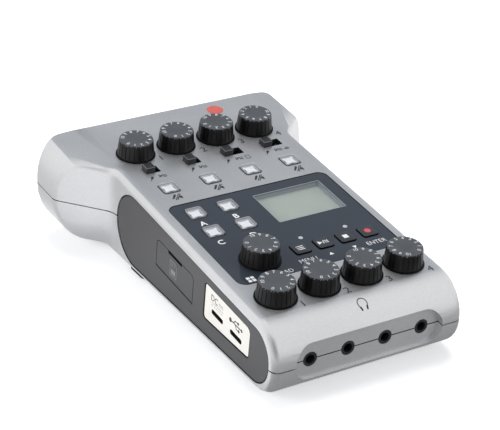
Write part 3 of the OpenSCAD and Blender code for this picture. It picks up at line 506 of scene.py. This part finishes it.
print("upper shell:", blacken("upper_shell", lambda at, n, d, dn, zs:
      in_pocket(at, n) or in_hole(d, dn) or max(zs) < seam_height(at[1]) + seam_reach))
print("lower shell:", blacken("lower_shell", lambda at, n, d, dn, zs:
      in_pocket(at, n) or min(zs) > seam_height(at[1]) - seam_reach))
for node in ("side_cover_left", "side_cover_right", "port_plate"):
    print(node + ":", blacken(node, lambda at, n, d, dn, zs: abs(n.x) < 0.4))
# A narrow rim cut into each cover's face is painted black: painted shade for the gap round the cover.
for node in ("side_cover_left", "side_cover_right"):
    cover = bpy.data.objects[node + "_skin"]
    edit(cover)
    pick("FACE", lambda f: on_cover_face(f.normal, f.calc_center_median()))
    bpy.ops.mesh.inset(thickness=rim_width * mm, depth=0)
    close()
    rim = [f for f in cover.data.polygons
           if not f.select and on_cover_face(f.normal, f.center) and not round_the_door(f.center)]
    for face in rim:
        face.material_index = 1
    print(node + ": dark rim of", len(rim), "faces")
# Painted light: the sill faces of the door's opening, blackened as gap shade above, get a paler grey.
sill = bpy.data.objects["side_cover_left_skin"]
sill.data.materials.append(painted_light_sill)
for face in sill.data.polygons:
    if face.material_index == 1 and face.normal.z > 0.5 and on_sill(face.center / mm):
        face.material_index = 2
print("card_door:", blacken("card_door", lambda at, n, d, dn, zs: abs(n.x) < 0.4 and dn.z > -0.5))
print("display_panel:", blacken("display_panel", lambda at, n, d, dn, zs: abs(dn.z) < 0.3))
print("usb_sockets:", blacken("usb_sockets", lambda at, n, d, dn, zs:
      max(zs) - min(zs) > 0.9 or abs(n.x) < 0.9))

# %% [markdown]
# ## Finishes for what stays inside
# Boards, cells, controls and shafts are seen only through a gap or when a cover swings away. Their
# solids stay as they are, and a better finish goes straight into their material slots.

# %% Inner solids
for node, finish in (
        ("control_board", board_green), ("main_board", board_green), ("potentiometers", steel),
        ("tact_switches", socket_black), ("switch_bodies", steel), ("screen_module", black_and_gap_shade),
        ("battery_cells", cell_wrap), ("battery_contacts", steel),
        *[(n, steel) for n in frame["nodes"] if "shaft" in n]):
    for slot in frame["nodes"][node].material_slots:
        slot.material = finish
print("inner solids finished")

# %% [markdown]
# ## Knobs
# A knob is a black moulding on a thin wide foot. Its grip narrows towards the top, with narrow
# grooves down it, and the grey top has a chamfered rim and a dish, round which 0 to 10 are printed.
# It could be a cylinder with a bump map, but the grooves show on the outline, so they are cut: the
# section is spun in fine steps, and every sixth column of side faces is pushed in. A few small faces
# of the rim are painted paler: painted highlights, short glints along the rim. They are picked by
# their number, and Blender doesn't number the faces alike in every run, so they don't always lie in
# the same places.

# %% Knob body
knob_section = [(3.1, 0.05), (7.55, 0.05), (7.68, 0.15), (7.66, 0.42), (7.5, 0.52), (7.2, 0.6), (7.13, 0.9),
                (6.66, 5.9), (6.6, 6.35), (6.5, 6.72), (6.22, 6.97), (5.95, 7.0),
                (4.35, 7.0), (3.7, 6.82), (2.6, 6.5), (1.3, 6.28), (0, 6.2)]
grooves, columns = 24, 6
grip_from, grip_to = 0.9, 5.9
knob = turned("knob_master", knob_section, steps=grooves * columns)
edit(knob)


def in_groove(face):
    middle = face.calc_center_median() / mm
    turn = math.degrees(math.atan2(middle.y, middle.x)) % (360 / grooves)
    on_grip = grip_from < middle.z < grip_to and middle.to_2d().length > 6.4
    return on_grip and turn < 360 / grooves / columns


found = pick("FACE", in_groove)
bpy.ops.mesh.inset(thickness=0.06 * mm, depth=-0.26 * mm, use_individual=False)
bpy.ops.mesh.select_all(action="SELECT")
bpy.ops.mesh.normals_make_consistent(inside=False)
close()
smooth(knob, 40)
paint(knob, knob_black, knob_top, painted_highlight_edge, shade_black)
for face in knob.data.polygons:
    if face.center.z < 0.62 * mm:
        face.material_index = 3
    elif face.center.z > 6.8 * mm or face.center.to_2d().length < 6.0 * mm and face.center.z > 6 * mm:
        face.material_index = 1
    # Painted highlight: a few faces of the rim's chamfer are picked to be pale.
    elif 6.4 < face.center.z / mm < 6.72 and face.normal.z > 0.1:
        face.material_index = 2 if math.sin(face.index * 1.7) > 0.93 else 0
print("faces in grooves:", found, "knob faces:", len(knob.data.polygons))

# %% [markdown]
# ## Numbers round the top
# The scale is printed, so each number is text turned into a mesh a few hundredths thick and set on
# the flat ring round the dish. The zero stands in a different place on every knob, because each was
# left at its own setting. That turn is taken from the photograph.

# %% Lettering
def lettering(name, words, height, matrix, thick=0.03, weight=0.0, stretch=1.0):
    only()
    bpy.ops.object.text_add(location=(0, 0, 0))
    text = bpy.context.object
    text.data.body = words
    text.data.resolution_u = 3
    text.data.extrude = 0.02
    text.data.offset = weight
    bpy.ops.object.convert(target="MESH")
    piece = bpy.context.object
    piece.name = name
    points = [v.co for v in piece.data.vertices]
    low = Vector([min(p[i] for p in points) for i in range(3)])
    high = Vector([max(p[i] for p in points) for i in range(3)])
    size = height * mm / (high.y - low.y)
    flat = Matrix.Diagonal((size * stretch, size, thick * mm / (high.z - low.z), 1))
    piece.data.transform(matrix @ flat @ Matrix.Translation(-(low + high) / 2))
    edit(piece)
    bpy.ops.mesh.remove_doubles(threshold=1e-7)
    close()
    return piece


ring = []
ring_radius, ring_height, number_height = 5.2, 7.0, 1.5
for number in range(11):
    turn = math.radians(30 * number)
    at = Vector((ring_radius * math.cos(turn), ring_radius * math.sin(turn), ring_height)) * mm
    facing = Matrix.Translation(at) @ Matrix.Rotation(turn - math.pi / 2, 4, "Z")
    ring.append(lettering(f"number_{number}", str(number), number_height, facing, 0.03, 0.004))
numbers = joined("numbers_master", ring)
paint(numbers, numeral_grey)
print("faces in one scale:", len(numbers.data.polygons))

# %% Nine knobs
knob_places = {}
channel_x = (-26.4, -8.8, 8.8, 26.4)
volume_s, gain_s = 20.9, 126.24
for i, x in enumerate(channel_x, 1):
    knob_places[f"volume_knob_{i}"] = (x, volume_s)
    knob_places[f"gain_knob_{i}"] = (x, gain_s)
knob_places["pad_level_knob"] = (-19.4, 43.4)
zero_at = {"volume_knob_1": -137.4, "volume_knob_2": -121.2, "volume_knob_3": 149.8, "volume_knob_4": -53.2,
           "gain_knob_1": -152.5, "gain_knob_2": -123.8, "gain_knob_3": -178.2, "gain_knob_4": 52.0,
           "pad_level_knob": 157.2}
for node, (x, s) in knob_places.items():
    place = on_deck(x, s, 0, zero_at[node])
    grip = copied(knob, node + "_grip", place)
    scale = copied(numbers, node + "_numbers", place)
    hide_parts(node)
    for piece in (grip, scale):
        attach(piece, body_of[node])
for master in (knob, numbers):
    bpy.data.objects.remove(master)
print("knobs:", len(knob_places))

# %% [markdown]
# ## Pads and mute keys
# These keys are clear caps. Under the cap lies a frosted tray, and on it a white light guide that
# glows when its channel is on. The guide is narrower than the cap and ends in four short posts at
# its corners, which show as bright spots through the clear sides.

# %% Lit keys
guide_x, guide_y = -0.3, -0.45


def lit_key(size, top, depth):
    cap = rounded_block("cap_master", (size, size, depth), (0, 0, top - depth / 2), 0.9, rim=0.25)
    paint(cap, clear_cap)
    tray_size, tray_depth = size - 0.7, depth - 1.0
    tray = rounded_block("tray", (tray_size, tray_size, tray_depth), (0, 0, top - 0.9 - tray_depth / 2), 0.7)
    guide_size = (size * 0.58, size * 0.58, 0.5)
    guide = rounded_block("guide", guide_size, (guide_x, guide_y, top - 0.9), 0.3, rim=0.12)
    posts = []
    for u, v in ((-1, -1), (1, -1), (-1, 1), (1, 1)):
        foot = (u * size * 0.26 + guide_x, v * size * 0.26 + guide_y, top - 1.12)
        posts.append(rounded_block("post", (1.0, 1.0, 1.0), foot, 0.3, rim=0.2, segments=3))
    # The three black slits are painted shade: dark pieces where shade lies between the guide's posts.
    slits = [rounded_block("slit", (w, d, 0.3), (x, y, top - 0.98), 0.08) for w, d, x, y in (
        (1.1, 0.45, guide_x, -size * 0.27 - 0.75),
        (0.45, 1.1, -size * 0.27 - 0.6, guide_y),
        (0.35, 0.9, size * 0.27 + 0.1, guide_y))]
    paint(tray, frosted, shade_black)
    for face in tray.data.polygons:
        face.material_index = 0 if face.normal.z > 0.5 else 1
    for piece in (guide, *posts):
        paint(piece, light_guide)
    for piece in slits:
        paint(piece, black_and_gap_shade)
    return cap, joined("guide_master", [tray, guide, *posts, *slits])


key_size, key_depth = 6.5, 2.2
mute_s, mute_top = 98.64, 1.0
pads_x, pads_s, half_pitch, pad_top = -18.9, 72.5, 6.7, 0.75
lit_places = {f"mute_key_{i}": (x, mute_s, mute_top) for i, x in enumerate(channel_x, 1)}
for i, (dx, ds) in enumerate(((-1, 1), (1, 1), (-1, -1), (1, -1))):
    lit_places["pad_key_" + "abcd"[i]] = (pads_x + dx * half_pitch, pads_s + ds * half_pitch, pad_top)
cap, core = lit_key(key_size, 0, key_depth)
for node, (x, s, top) in lit_places.items():
    shell = copied(cap, node + "_cap", on_deck(x, s, top))
    guide = copied(core, node + "_guide", on_deck(x, s, top))
    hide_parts(node)
    for piece in (shell, guide):
        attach(piece, body_of[node])
for master in (cap, core):
    bpy.data.objects.remove(master)
print("lit keys:", len(lit_places))

# %% [markdown]
# ## Marks drawn with a pen
# Small pictograms are easier to draw than to model: a curve with a little thickness is a pen line,
# and a closed flat curve fills itself. Both are turned into meshes, pressed flat and laid in place.

# %% Drawing
def pen(name, lines, width, matrix, thick=0.03):
    curve = bpy.data.curves.new(name, "CURVE")
    curve.dimensions = "3D"
    curve.bevel_depth = width / 2
    curve.bevel_resolution = 1
    curve.use_fill_caps = True
    for points, ring in lines:
        spline = curve.splines.new("POLY")
        spline.points.add(len(points) - 1)
        for target, (x, y) in zip(spline.points, points):
            target.co = (x, y, 0, 1)
        spline.use_cyclic_u = ring
    return flattened(name, curve, matrix @ Matrix.Diagonal((mm, mm, mm * thick / width, 1)))


def filled(name, outlines, matrix, thick=0.03):
    curve = bpy.data.curves.new(name, "CURVE")
    curve.dimensions = "2D"
    curve.fill_mode = "BOTH"
    curve.extrude = thick / 2
    for points in outlines:
        spline = curve.splines.new("POLY")
        spline.points.add(len(points) - 1)
        for target, (x, y) in zip(spline.points, points):
            target.co = (x, y, 0, 1)
        spline.use_cyclic_u = True
    return flattened(name, curve, matrix @ Matrix.Diagonal((mm, mm, mm, 1)))


def flattened(name, curve, matrix):
    piece = bpy.data.objects.new(name, curve)
    bpy.context.scene.collection.objects.link(piece)
    only(piece)
    bpy.ops.object.convert(target="MESH")
    piece = bpy.context.object
    piece.data.transform(matrix)
    edit(piece)
    bpy.ops.mesh.remove_doubles(threshold=1e-7)
    close()
    return piece


def arc(x, y, r, start, end, steps=16):
    turns = [math.radians(start + (end - start) * i / steps) for i in range(steps + 1)]
    return [(x + r * math.cos(t), y + r * math.sin(t)) for t in turns]


def box_line(x0, y0, x1, y1):
    return [(x0, y0), (x1, y0), (x1, y1), (x0, y1)]


print("pen ready")

# %% [markdown]
# ## Menu, play, stop and record keys
# Four dark keys stand in a row with a printed sign each: a list, play and pause, a square and a red
# dot. They are rounded blocks like the pads, solid this time, and the signs ride on them.

# %% Row keys
row_size, row_top, row_depth = 6.0, 0.35, 2.0
row_start, row_pitch, row_s = -2.6, 9.55, 43.4
row_names = ("menu_key", "play_key", "stop_key", "record_key")
row_x = {name: row_start + row_pitch * i for i, name in enumerate(row_names)}
sign_top = row_top + 0.02


def key_sign(name, matrix):
    matrix = matrix @ Matrix.Diagonal((1.22, 1.22, 1, 1))
    if name == "menu_key":
        lines = [([(-1.25, i * 0.8), (1.2, i * 0.8)], False) for i in (-1, 0, 1)]
        return [pen("sign", lines, 0.4, matrix)]
    if name == "play_key":
        return [filled("sign", [[(-1.75, -0.85), (-0.35, 0), (-1.75, 0.85)]], matrix),
                pen("sign", [([(-0.1, -0.85), (0.35, 0.85)], False), ([(0.85, -0.75), (0.85, 0.75)], False),
                             ([(1.5, -0.75), (1.5, 0.75)], False)], 0.33, matrix)]
    if name == "stop_key":
        return [filled("sign", [box_line(-0.85, -0.85, 0.85, 0.85)], matrix)]
    return [filled("sign", [arc(0, 0, 1.05, 0, 345, 23)], matrix)]


block = rounded_block(
    "row_master", (row_size, row_size, row_depth), (0, 0, row_top - row_depth / 2), 0.9, rim=0.2)
paint(block, key_grey, shade_black)
for face in block.data.polygons:
    face.material_index = 1 if face.normal.z < 0.2 else 0
for node in row_names:
    piece = copied(block, node + "_cap", on_deck(row_x[node], row_s))
    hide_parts(node)
    sign = joined(node + "_sign", key_sign(node, on_deck(row_x[node], row_s, sign_top)))
    paint(sign, record_red if node == "record_key" else print_white)
    for part in (piece, sign):
        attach(part, body_of[node])
bpy.data.objects.remove(block)
print("row keys:", len(row_names))

# %% [markdown]
# ## Input switches
# Each slide switch is a plain, nearly square cap that stands well proud of its slot. The narrow
# bevel round its top is painted a paler grey on all but its right and rear sides, a painted
# highlight where the light catches it. It replaces the imported cap, and is a little wider and
# taller than it.

# %% Switch caps
switch_s, packed_cap, longest_packed = 113.24, 3.4, 4.5
switch_size, switch_middle = (3.7, 4.1, 5.3), (0, 0, -0.4)
cap = rounded_block("switch_master", switch_size, switch_middle, 0.12, rim=0.15, segments=2)
paint(cap, cap_black, painted_highlight_edge)
for face in cap.data.polygons:
    # Painted highlight: the bevel faces that don't look to the right and rear are paler.
    face.material_index = 1 if 0.2 < face.normal.z < 0.98 and face.normal.x + face.normal.y < 0.2 else 0
for i in (1, 2, 3, 4):
    node = f"input_switch_{i}"
    low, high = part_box(node)
    is_cap = high.x - low.x < longest_packed * mm
    x = (low.x / mm + packed_cap / 2) if is_cap else (low.x + high.x) / 2 / mm
    piece = copied(cap, node + "_cap", on_deck(x, switch_s))
    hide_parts(node)
    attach(piece, body_of[node])
    print(node, "cap at", round(x, 2))
bpy.data.objects.remove(cap)

# %% [markdown]
# ## Screen and lights
# The screen lies more than two millimetres under its pane, so the camera looks onto the rear and
# right walls of its well. The well is a block with its top and bottom opened, and a pale ring runs
# round the pane, a painted highlight on the pane's edge. The two lights are milky buttons with a
# domed top, spun like the knobs.

# %% Screen
screen_x, screen_s, screen_w, screen_d, screen_depth = 14.4, 71.8, 29.0, 20.0, 2.3


def open_frame(name, size, wall, low, high, finish):
    piece = rounded_block(name, (*size, high - low), (0, 0, (low + high) / 2), 0.5)
    edit(piece)
    pick("FACE", lambda f: abs(f.normal.z) > 0.99 and f.calc_area() > 50 * mm * mm)
    bpy.ops.mesh.inset(thickness=wall * mm, depth=0)
    bpy.ops.mesh.bridge_edge_loops()
    bpy.ops.mesh.select_all(action="SELECT")
    bpy.ops.mesh.normals_make_consistent(inside=False)
    close()
    piece.data.transform(on_deck(screen_x, screen_s))
    paint(piece, finish)
    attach(piece, "recorder")


face = rounded_block("screen_face", (screen_w - 0.7, screen_d - 0.7, 0.3), (0, 0, -0.15), 0.4, rim=0.05)
face.data.transform(on_deck(screen_x, screen_s, -screen_depth))
paint(face, lcd_face)
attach(face, "recorder")
open_frame("screen_well", (screen_w - 0.1, screen_d - 0.1), 0.3, -screen_depth, -0.75, lcd_frame)
# Painted highlight: a pale ring round the pane's edge.
open_frame("screen_pane_highlight", (screen_w + 0.05, screen_d + 0.05), 0.17, -0.5, -0.235, pane_highlight)
skin("screen_window", clear_pane)

lights_x, light_s = 11, 49.8
light_section = [(0.9, -1.2), (0.9, -0.25), (0.82, -0.14), (0.5, -0.08), (0, -0.06)]
for i, x in enumerate((lights_x - row_pitch, lights_x + row_pitch), 1):
    light = turned(f"status_light_{i}", light_section, 32)
    light.data.transform(on_deck(x, light_s))
    smooth(light, 35)
    paint(light, milky)
    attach(light, "recorder")
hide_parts("status_lights")
print("screen", round(screen_w, 1), "by", screen_d, "mm, and two lights")

# %% [markdown]
# ## Print on the deck
# The deck carries dark numbers, small signs for the switch positions and the mute keys, a headphone
# sign on the nose and one plain red disc. The last switch sign is a stem with two branches, a
# simple form of the connector standard's sign. What has one colour on one body becomes one piece.

# %% Deck print
deck_h = 0.02
signs_s, mute_sign_s = 107.5, 92.1
dark_marks = []
for x, s, number in ((-19.7, 13.9, 1), (-1.4, 14.5, 2), (16.2, 14.5, 3), (33.2, 13.8, 4),
                     (-18.6, 120.0, 1), (-0.4, 119.2, 2), (16.7, 119.2, 3), (33.4, 119.2, 4)):
    dark_marks.append(lettering(f"number_{number}", str(number), 3.2, on_deck(x, s, deck_h), weight=-0.004))


def microphone_sign(at):
    return [filled("mark", [arc(0, 0.75, 0.5, 0, 180, 8) + arc(0, 0.0, 0.5, 180, 360, 8)], at),
            pen("mark", [([(0, -0.5), (0, -1.8)], False)], 0.34, at)]


def phone_plug_sign(at):
    wire = [(-1.6, -0.3), (-0.8, -0.3), (-0.3, 0.6), (0.4, 0.6), (0.4, -0.6), (1.6, -0.6)]
    return [pen("mark", [(wire, False), ([(-1.4, 0.8), (-0.7, 0.8)], False),
                         ([(1.0, 0.5), (1.7, 0.5)], False)], 0.52, at)]


def phone_sign(at):
    return [pen("mark", [(box_line(-0.8, -1.2, 0.8, 1.2), True)], 0.28, at)]


def cable_sign(at):
    return [pen("mark", [([(-1.5, 0), (1.3, 0)], False), ([(-0.6, 0), (0.1, 0.7), (0.8, 0.7)], False),
                         ([(-1.0, 0), (-0.3, -0.7), (0.4, -0.7)], False)], 0.28, at)]


def mute_sign(at):
    at = at @ Matrix.Diagonal((1.12, 1.2, 1, 1))
    return [filled("mark", [[(-2.1, -0.75), (-1.35, -0.75), (0.1, 0.9), (0.1, 1.5), (-0.6, 1.35)]], at),
            pen("mark", [([(-1.15, -1.55), (1.35, 1.45)], False),
                         ([(-0.55, -1.6), (1.85, 1.3)], False)], 0.30, at),
            filled("mark", [[(0.55, -0.55), (1.25, 0.25), (1.75, 0.0), (1.6, -1.5)]], at)]


for x in (-28.9, -11.4, 4.1, 21.7):
    dark_marks += microphone_sign(on_deck(x, signs_s, deck_h, -35))
for x in (-24.4, -7.0, 9.0, 26.6):
    dark_marks += phone_plug_sign(on_deck(x, 107.7, deck_h))
dark_marks += phone_sign(on_deck(12.8, signs_s, deck_h))
dark_marks += cable_sign(on_deck(30.5, signs_s, deck_h))
for x in (-26.5, -8.9, 8.7, 26.3):
    dark_marks += mute_sign(on_deck(x, mute_sign_s, deck_h))
deck_print = joined("deck_print", dark_marks)
paint(deck_print, print_dark)
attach(deck_print, "recorder")

disc = filled("red_disc", [arc(0, 0, 3.35, 0, 355, 71)], on_deck(19.4, 145.6, deck_h))
paint(disc, print_red)
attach(disc, "recorder")
print("deck print faces:", len(deck_print.data.polygons))

# %% Headphone sign on the round nose
sign_at = on_deck(0.3, 7.2, 3.0)
cup = [0.2 * i for i in range(7)]
sign = joined("headphone_sign", [
    pen("sign", [(arc(0, 0.5, 1.8, -50, 230, 36), False)], 0.3, sign_at),
    pen("sign", [([(side * (1.0 + 0.32 * c), -1.75 + c) for c in cup], False) for side in (-1, 1)],
        0.62, sign_at)])
only(sign)
finish_with(sign, "SHRINKWRAP", target=bpy.data.objects["upper_shell_skin"], wrap_method="PROJECT",
            use_negative_direction=True, use_positive_direction=False, use_project_z=True, offset=0.04 * mm)
paint(sign, print_dark)
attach(sign, "recorder")
print("headphone sign lowest:", round(min(v.co.z for v in sign.data.vertices) / mm, 2))

# %% [markdown]
# ## Print on the glossy panel
# White names and small signs: the letters of the pads, MENU, ENTER and PAD, two arrows and four
# little squares. They lie on the panel's own face, which is a little lower than the deck.

# %% Panel print
panel_h = -0.25 + 0.02
letter_look, word_look = (2.8, 0.02, 1.0), (2.05, -0.008, 0.9)
white_marks = []
for x, s, words, look in (
        (-26.3, 72.3, "A", letter_look), (-12.7, 72.1, "B", letter_look), (-26.4, 58.8, "C", letter_look),
        (-12.9, 58.6, "D", letter_look), (-3.5, 36.4, "MENU", word_look),
        (25.6, 36.6, "ENTER", word_look), (-14.3, 33.2, "PAD", word_look)):
    height, weight, stretch = look
    white_marks.append(
        lettering("mark", words, height, on_deck(x, s, panel_h), weight=weight, stretch=stretch))
white_marks.append(filled("mark", [[(-0.9, -0.7), (0.9, -0.7), (0, 0.85)]], on_deck(6.2, 36.6, panel_h)))
white_marks.append(filled("mark", [[(-0.9, 0.7), (0, -0.85), (0.9, 0.7)]], on_deck(16.4, 36.8, panel_h)))
for dx in (-0.85, 0.85):
    for ds in (-0.85, 0.85):
        square = [box_line(-0.65, -0.65, 0.65, 0.65)]
        white_marks.append(filled("mark", square, on_deck(-28.4 + dx, 34.0 + ds, panel_h)))
panel_print = joined("panel_print", white_marks)
paint(panel_print, print_white)
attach(panel_print, "recorder")
print("panel print faces:", len(panel_print.data.polygons))

# %% [markdown]
# ## Print on the left side
# The port plate says what goes in: DC with its sign, a solid line over a dashed one, and the
# branching sign of the connector standard, a stem whose branches end in a square and a disc. The
# card door has a pale card. On this side text runs towards the front, so one matrix turns the
# drawing plane to face left, with the slant of the deck.

# %% Side print
def on_left(x, y, z):
    facing = Matrix(((0, 0, -1, 0), (-1, 0, 0, 0), (0, 1, 0, 0), (0, 0, 0, 1)))
    slant = Matrix.Rotation(math.radians(-4.5), 4, "Z")
    return Matrix.Translation(Vector((x, y, z)) * mm) @ facing @ slant


plate_x, door_x = -38.65 - 0.02, -38.9 - 0.02
port_marks = [lettering("mark", "DC", 2.5, on_left(plate_x, -36.4, 21.6), weight=0.0, stretch=0.95)]
port_marks.append(pen("mark", [([(-1.5, 0.4), (1.5, 0.4)], False), ([(-1.5, -0.4), (-0.8, -0.4)], False),
                               ([(-0.35, -0.4), (0.35, -0.4)], False), ([(0.8, -0.4), (1.5, -0.4)], False)],
                      0.22, on_left(plate_x, -40.9, 21.1)))
dashes = [([(x, -0.55), (x + 1.0, -0.55)], False) for x in (-4.1, -2.5, -0.9, 0.7, 2.3)]
port_marks.append(pen("mark", [([(-4.1, 0.55), (4.1, 0.55)], False)] + dashes, 0.16,
                      on_left(plate_x, -38.5, 19.0)))
plug_at = on_left(plate_x, -51.4, 19.3) @ Matrix.Diagonal((1.12, 1.25, 1, 1))
plug_marks = [pen("mark", [([(-3.2, 0), (3.3, 0)], False), ([(-1.6, 0), (-0.5, 1.1), (0.9, 1.1)], False),
                           ([(-0.6, 0), (0.4, -1.1), (1.5, -1.1)], False)], 0.36, plug_at),
              filled("mark", [arc(-3.4, 0, 0.75, 0, 340, 17)], plug_at),
              filled("mark", [[(3.2, -0.65), (4.2, 0), (3.2, 0.65)]], plug_at),
              filled("mark", [box_line(0.8, 0.7, 1.7, 1.5)], plug_at),
              filled("mark", [arc(1.8, -1.1, 0.5, 0, 340, 17)], plug_at)]
for name, marks, finish in (("port_print", port_marks, port_print), ("plug_print", plug_marks, print_dark)):
    piece = joined(name, marks)
    paint(piece, finish)
    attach(piece, "recorder")
card_lines = [([(-2.4, -3.0), (2.4, -3.0), (2.4, 1.9), (1.3, 3.0), (-2.4, 3.0)], True)]
card_lines += [([(x, 1.0), (x, 2.2)], False) for x in (-1.5, -0.5, 0.5)]
card_at = on_left(door_x, -6.2, 18.6)
card_mark = joined("card_sign", [pen("mark", card_lines, 0.42, card_at),
                                 filled("mark", [box_line(-1.6, -2.2, 1.6, -0.2)], card_at)])
paint(card_mark, sign_grey)
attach(card_mark, body_of["card_door"])

print("side print done")

# %% [markdown]
# ## Camera, floor and light
# The camera stands where the photographer's stood, found from the edges of the object. The floor is
# a plain pale sheet: part of its white is its own, shown to the camera and to gloss and glass alike,
# and the rest is light that falls on it, so a soft shadow stays under the object.

# %% Camera
camera_data = bpy.data.cameras.new("camera")
camera_data.sensor_width = 36
camera_data.lens = 123.08
camera_data.clip_start = 0.01
camera_data.clip_end = 50
camera = bpy.data.objects.new("camera", camera_data)
bpy.context.scene.collection.objects.link(camera)
right, upward, back = ((0.86255379, -0.50520362, 0.02775371), (0.2117295, 0.41022558, 0.88706572),
                       (-0.45953409, -0.75926562, 0.46080814))
place = (-0.295630, -0.482987, 0.322866)
camera.matrix_world = Matrix([(right[i], upward[i], back[i], place[i]) for i in range(3)] + [(0, 0, 0, 1)])
bpy.context.scene.camera = camera
print("camera at", [round(v, 3) for v in place])


# %% Floor
def seen_directly(nodes, links):
    path = nodes.new("ShaderNodeLightPath")
    add = nodes.new("ShaderNodeMath")
    add.operation = "ADD"
    also = nodes.new("ShaderNodeMath")
    also.operation = "ADD"
    also.use_clamp = True
    links.new(path.outputs["Is Camera Ray"], add.inputs[0])
    links.new(path.outputs["Is Glossy Ray"], add.inputs[1])
    links.new(add.outputs[0], also.inputs[0])
    links.new(path.outputs["Is Transmission Ray"], also.inputs[1])
    return also.outputs[0]


only()
bpy.ops.mesh.primitive_circle_add(vertices=96, radius=4.0, fill_type="NGON", location=(0, 0, 0))
floor = bpy.context.object
floor.name = "floor"
floor_white = bpy.data.materials.new("floor white")
floor_white.use_nodes = True
nodes, links = floor_white.node_tree.nodes, floor_white.node_tree.links
nodes.clear()
paper, glow, both, out = (nodes.new("ShaderNode" + kind) for kind in
                          ("BsdfDiffuse", "Emission", "AddShader", "OutputMaterial"))
paper.inputs["Color"].default_value = (0.84, 0.84, 0.84, 1)
share = nodes.new("ShaderNodeMath")
share.operation = "MULTIPLY"
share.inputs[1].default_value = 0.13
extra = nodes.new("ShaderNodeMath")
extra.operation = "MULTIPLY_ADD"
extra.inputs[1].default_value = 0.30
links.new(seen_directly(nodes, links), share.inputs[0])
links.new(nodes.new("ShaderNodeLightPath").outputs["Is Camera Ray"], extra.inputs[0])
links.new(share.outputs[0], extra.inputs[2])
links.new(extra.outputs[0], glow.inputs["Strength"])
links.new(paper.outputs[0], both.inputs[0])
links.new(glow.outputs[0], both.inputs[1])
links.new(both.outputs[0], out.inputs["Surface"])
paint(floor, floor_white)
print("floor ready")

# %% World
world = bpy.data.worlds.new("studio")
bpy.context.scene.world = world
world.use_nodes = True
nodes, links = world.node_tree.nodes, world.node_tree.links
nodes.clear()
room, white, mix, out = (nodes.new("ShaderNode" + kind) for kind in
                         ("Background", "Background", "MixShader", "OutputWorld"))
room.inputs["Color"].default_value = (0.93, 0.96, 1.0, 1)
room.inputs["Strength"].default_value = 0.40
white.inputs["Color"].default_value = (1, 1, 1, 1)
white.inputs["Strength"].default_value = 1.0
links.new(seen_directly(nodes, links), mix.inputs["Fac"])
links.new(room.outputs[0], mix.inputs[1])
links.new(white.outputs[0], mix.inputs[2])
links.new(mix.outputs[0], out.inputs["Surface"])
print("world ready")


# %% [markdown]
# ## Lamps and cards
# Three large soft lamps light the object. Metallic paint shows what it reflects, so the lamps are
# hidden from gloss, and plain cards of chosen greys stand round the object as in a photographer's
# studio. Only reflections see the cards: they are hidden from the camera and throw no light.

# %% Lamps
middle = (0, 0, 0.02)


def soft_lamp(name, place, size, power):
    data = bpy.data.lights.new(name, "AREA")
    data.shape = "DISK"
    data.size = size
    data.energy = power
    lamp = bpy.data.objects.new(name, data)
    bpy.context.scene.collection.objects.link(lamp)
    lamp.location = place
    lamp.visible_glossy = False
    lamp.rotation_euler = (Vector(middle) - Vector(place)).to_track_quat("-Z", "Y").to_euler()


soft_lamp("overhead_lamp", (0.3, 0.42, 1.3), 1.0, 13)
soft_lamp("front_right_lamp", (0.9, -0.9, 0.55), 0.7, 5)
soft_lamp("left_lamp", (-1.15, 0.25, 0.5), 0.9, 9)


# %% Cards
def card(name, toward, distance, size, grey, flat=None):
    only()
    bpy.ops.mesh.primitive_plane_add(size=size, location=(0, 0, 0))
    piece = bpy.context.object
    piece.name = name
    for kind in ("camera", "shadow", "diffuse", "transmission", "volume_scatter"):
        setattr(piece, "visible_" + kind, False)
    away = Vector(toward).normalized()
    turn = Matrix.Identity(4) if flat else away.to_track_quat("Z", "Y").to_matrix().to_4x4()
    piece.data.transform(Matrix.Translation(Vector(flat) if flat else away * distance) @ turn)
    tone = bpy.data.materials.new(name)
    tone.use_nodes = True
    shader = tone.node_tree.nodes["Principled BSDF"]
    shader.inputs["Base Color"].default_value = (0, 0, 0, 1)
    shader.inputs["Emission Color"].default_value = (*grey, 1)
    shader.inputs["Emission Strength"].default_value = 1.0
    paint(piece, tone)


card("sky_card", (0.36, 0.72, 0.589), 1.6, 1.8, (0.345, 0.37, 0.405))
card("side_card", (-0.83, -0.44, 0.30), 1.5, 0.8, (0.52, 0.52, 0.525))
card("left_floor_card", (0, 0, 1), 0, 0.3, (0.60, 0.60, 0.605), flat=(-0.21, 0.20, 0.0005))
card("front_floor_card", (0, 0, 1), 0, 0.8, (0.26, 0.26, 0.265), flat=(0.30, -0.47, 0.0004))
card("dark_card", (-0.46, -0.76, 0.46), 1.7, 1.4, (0.10, 0.10, 0.10))
bpy.context.scene.view_settings.view_transform = "Standard"
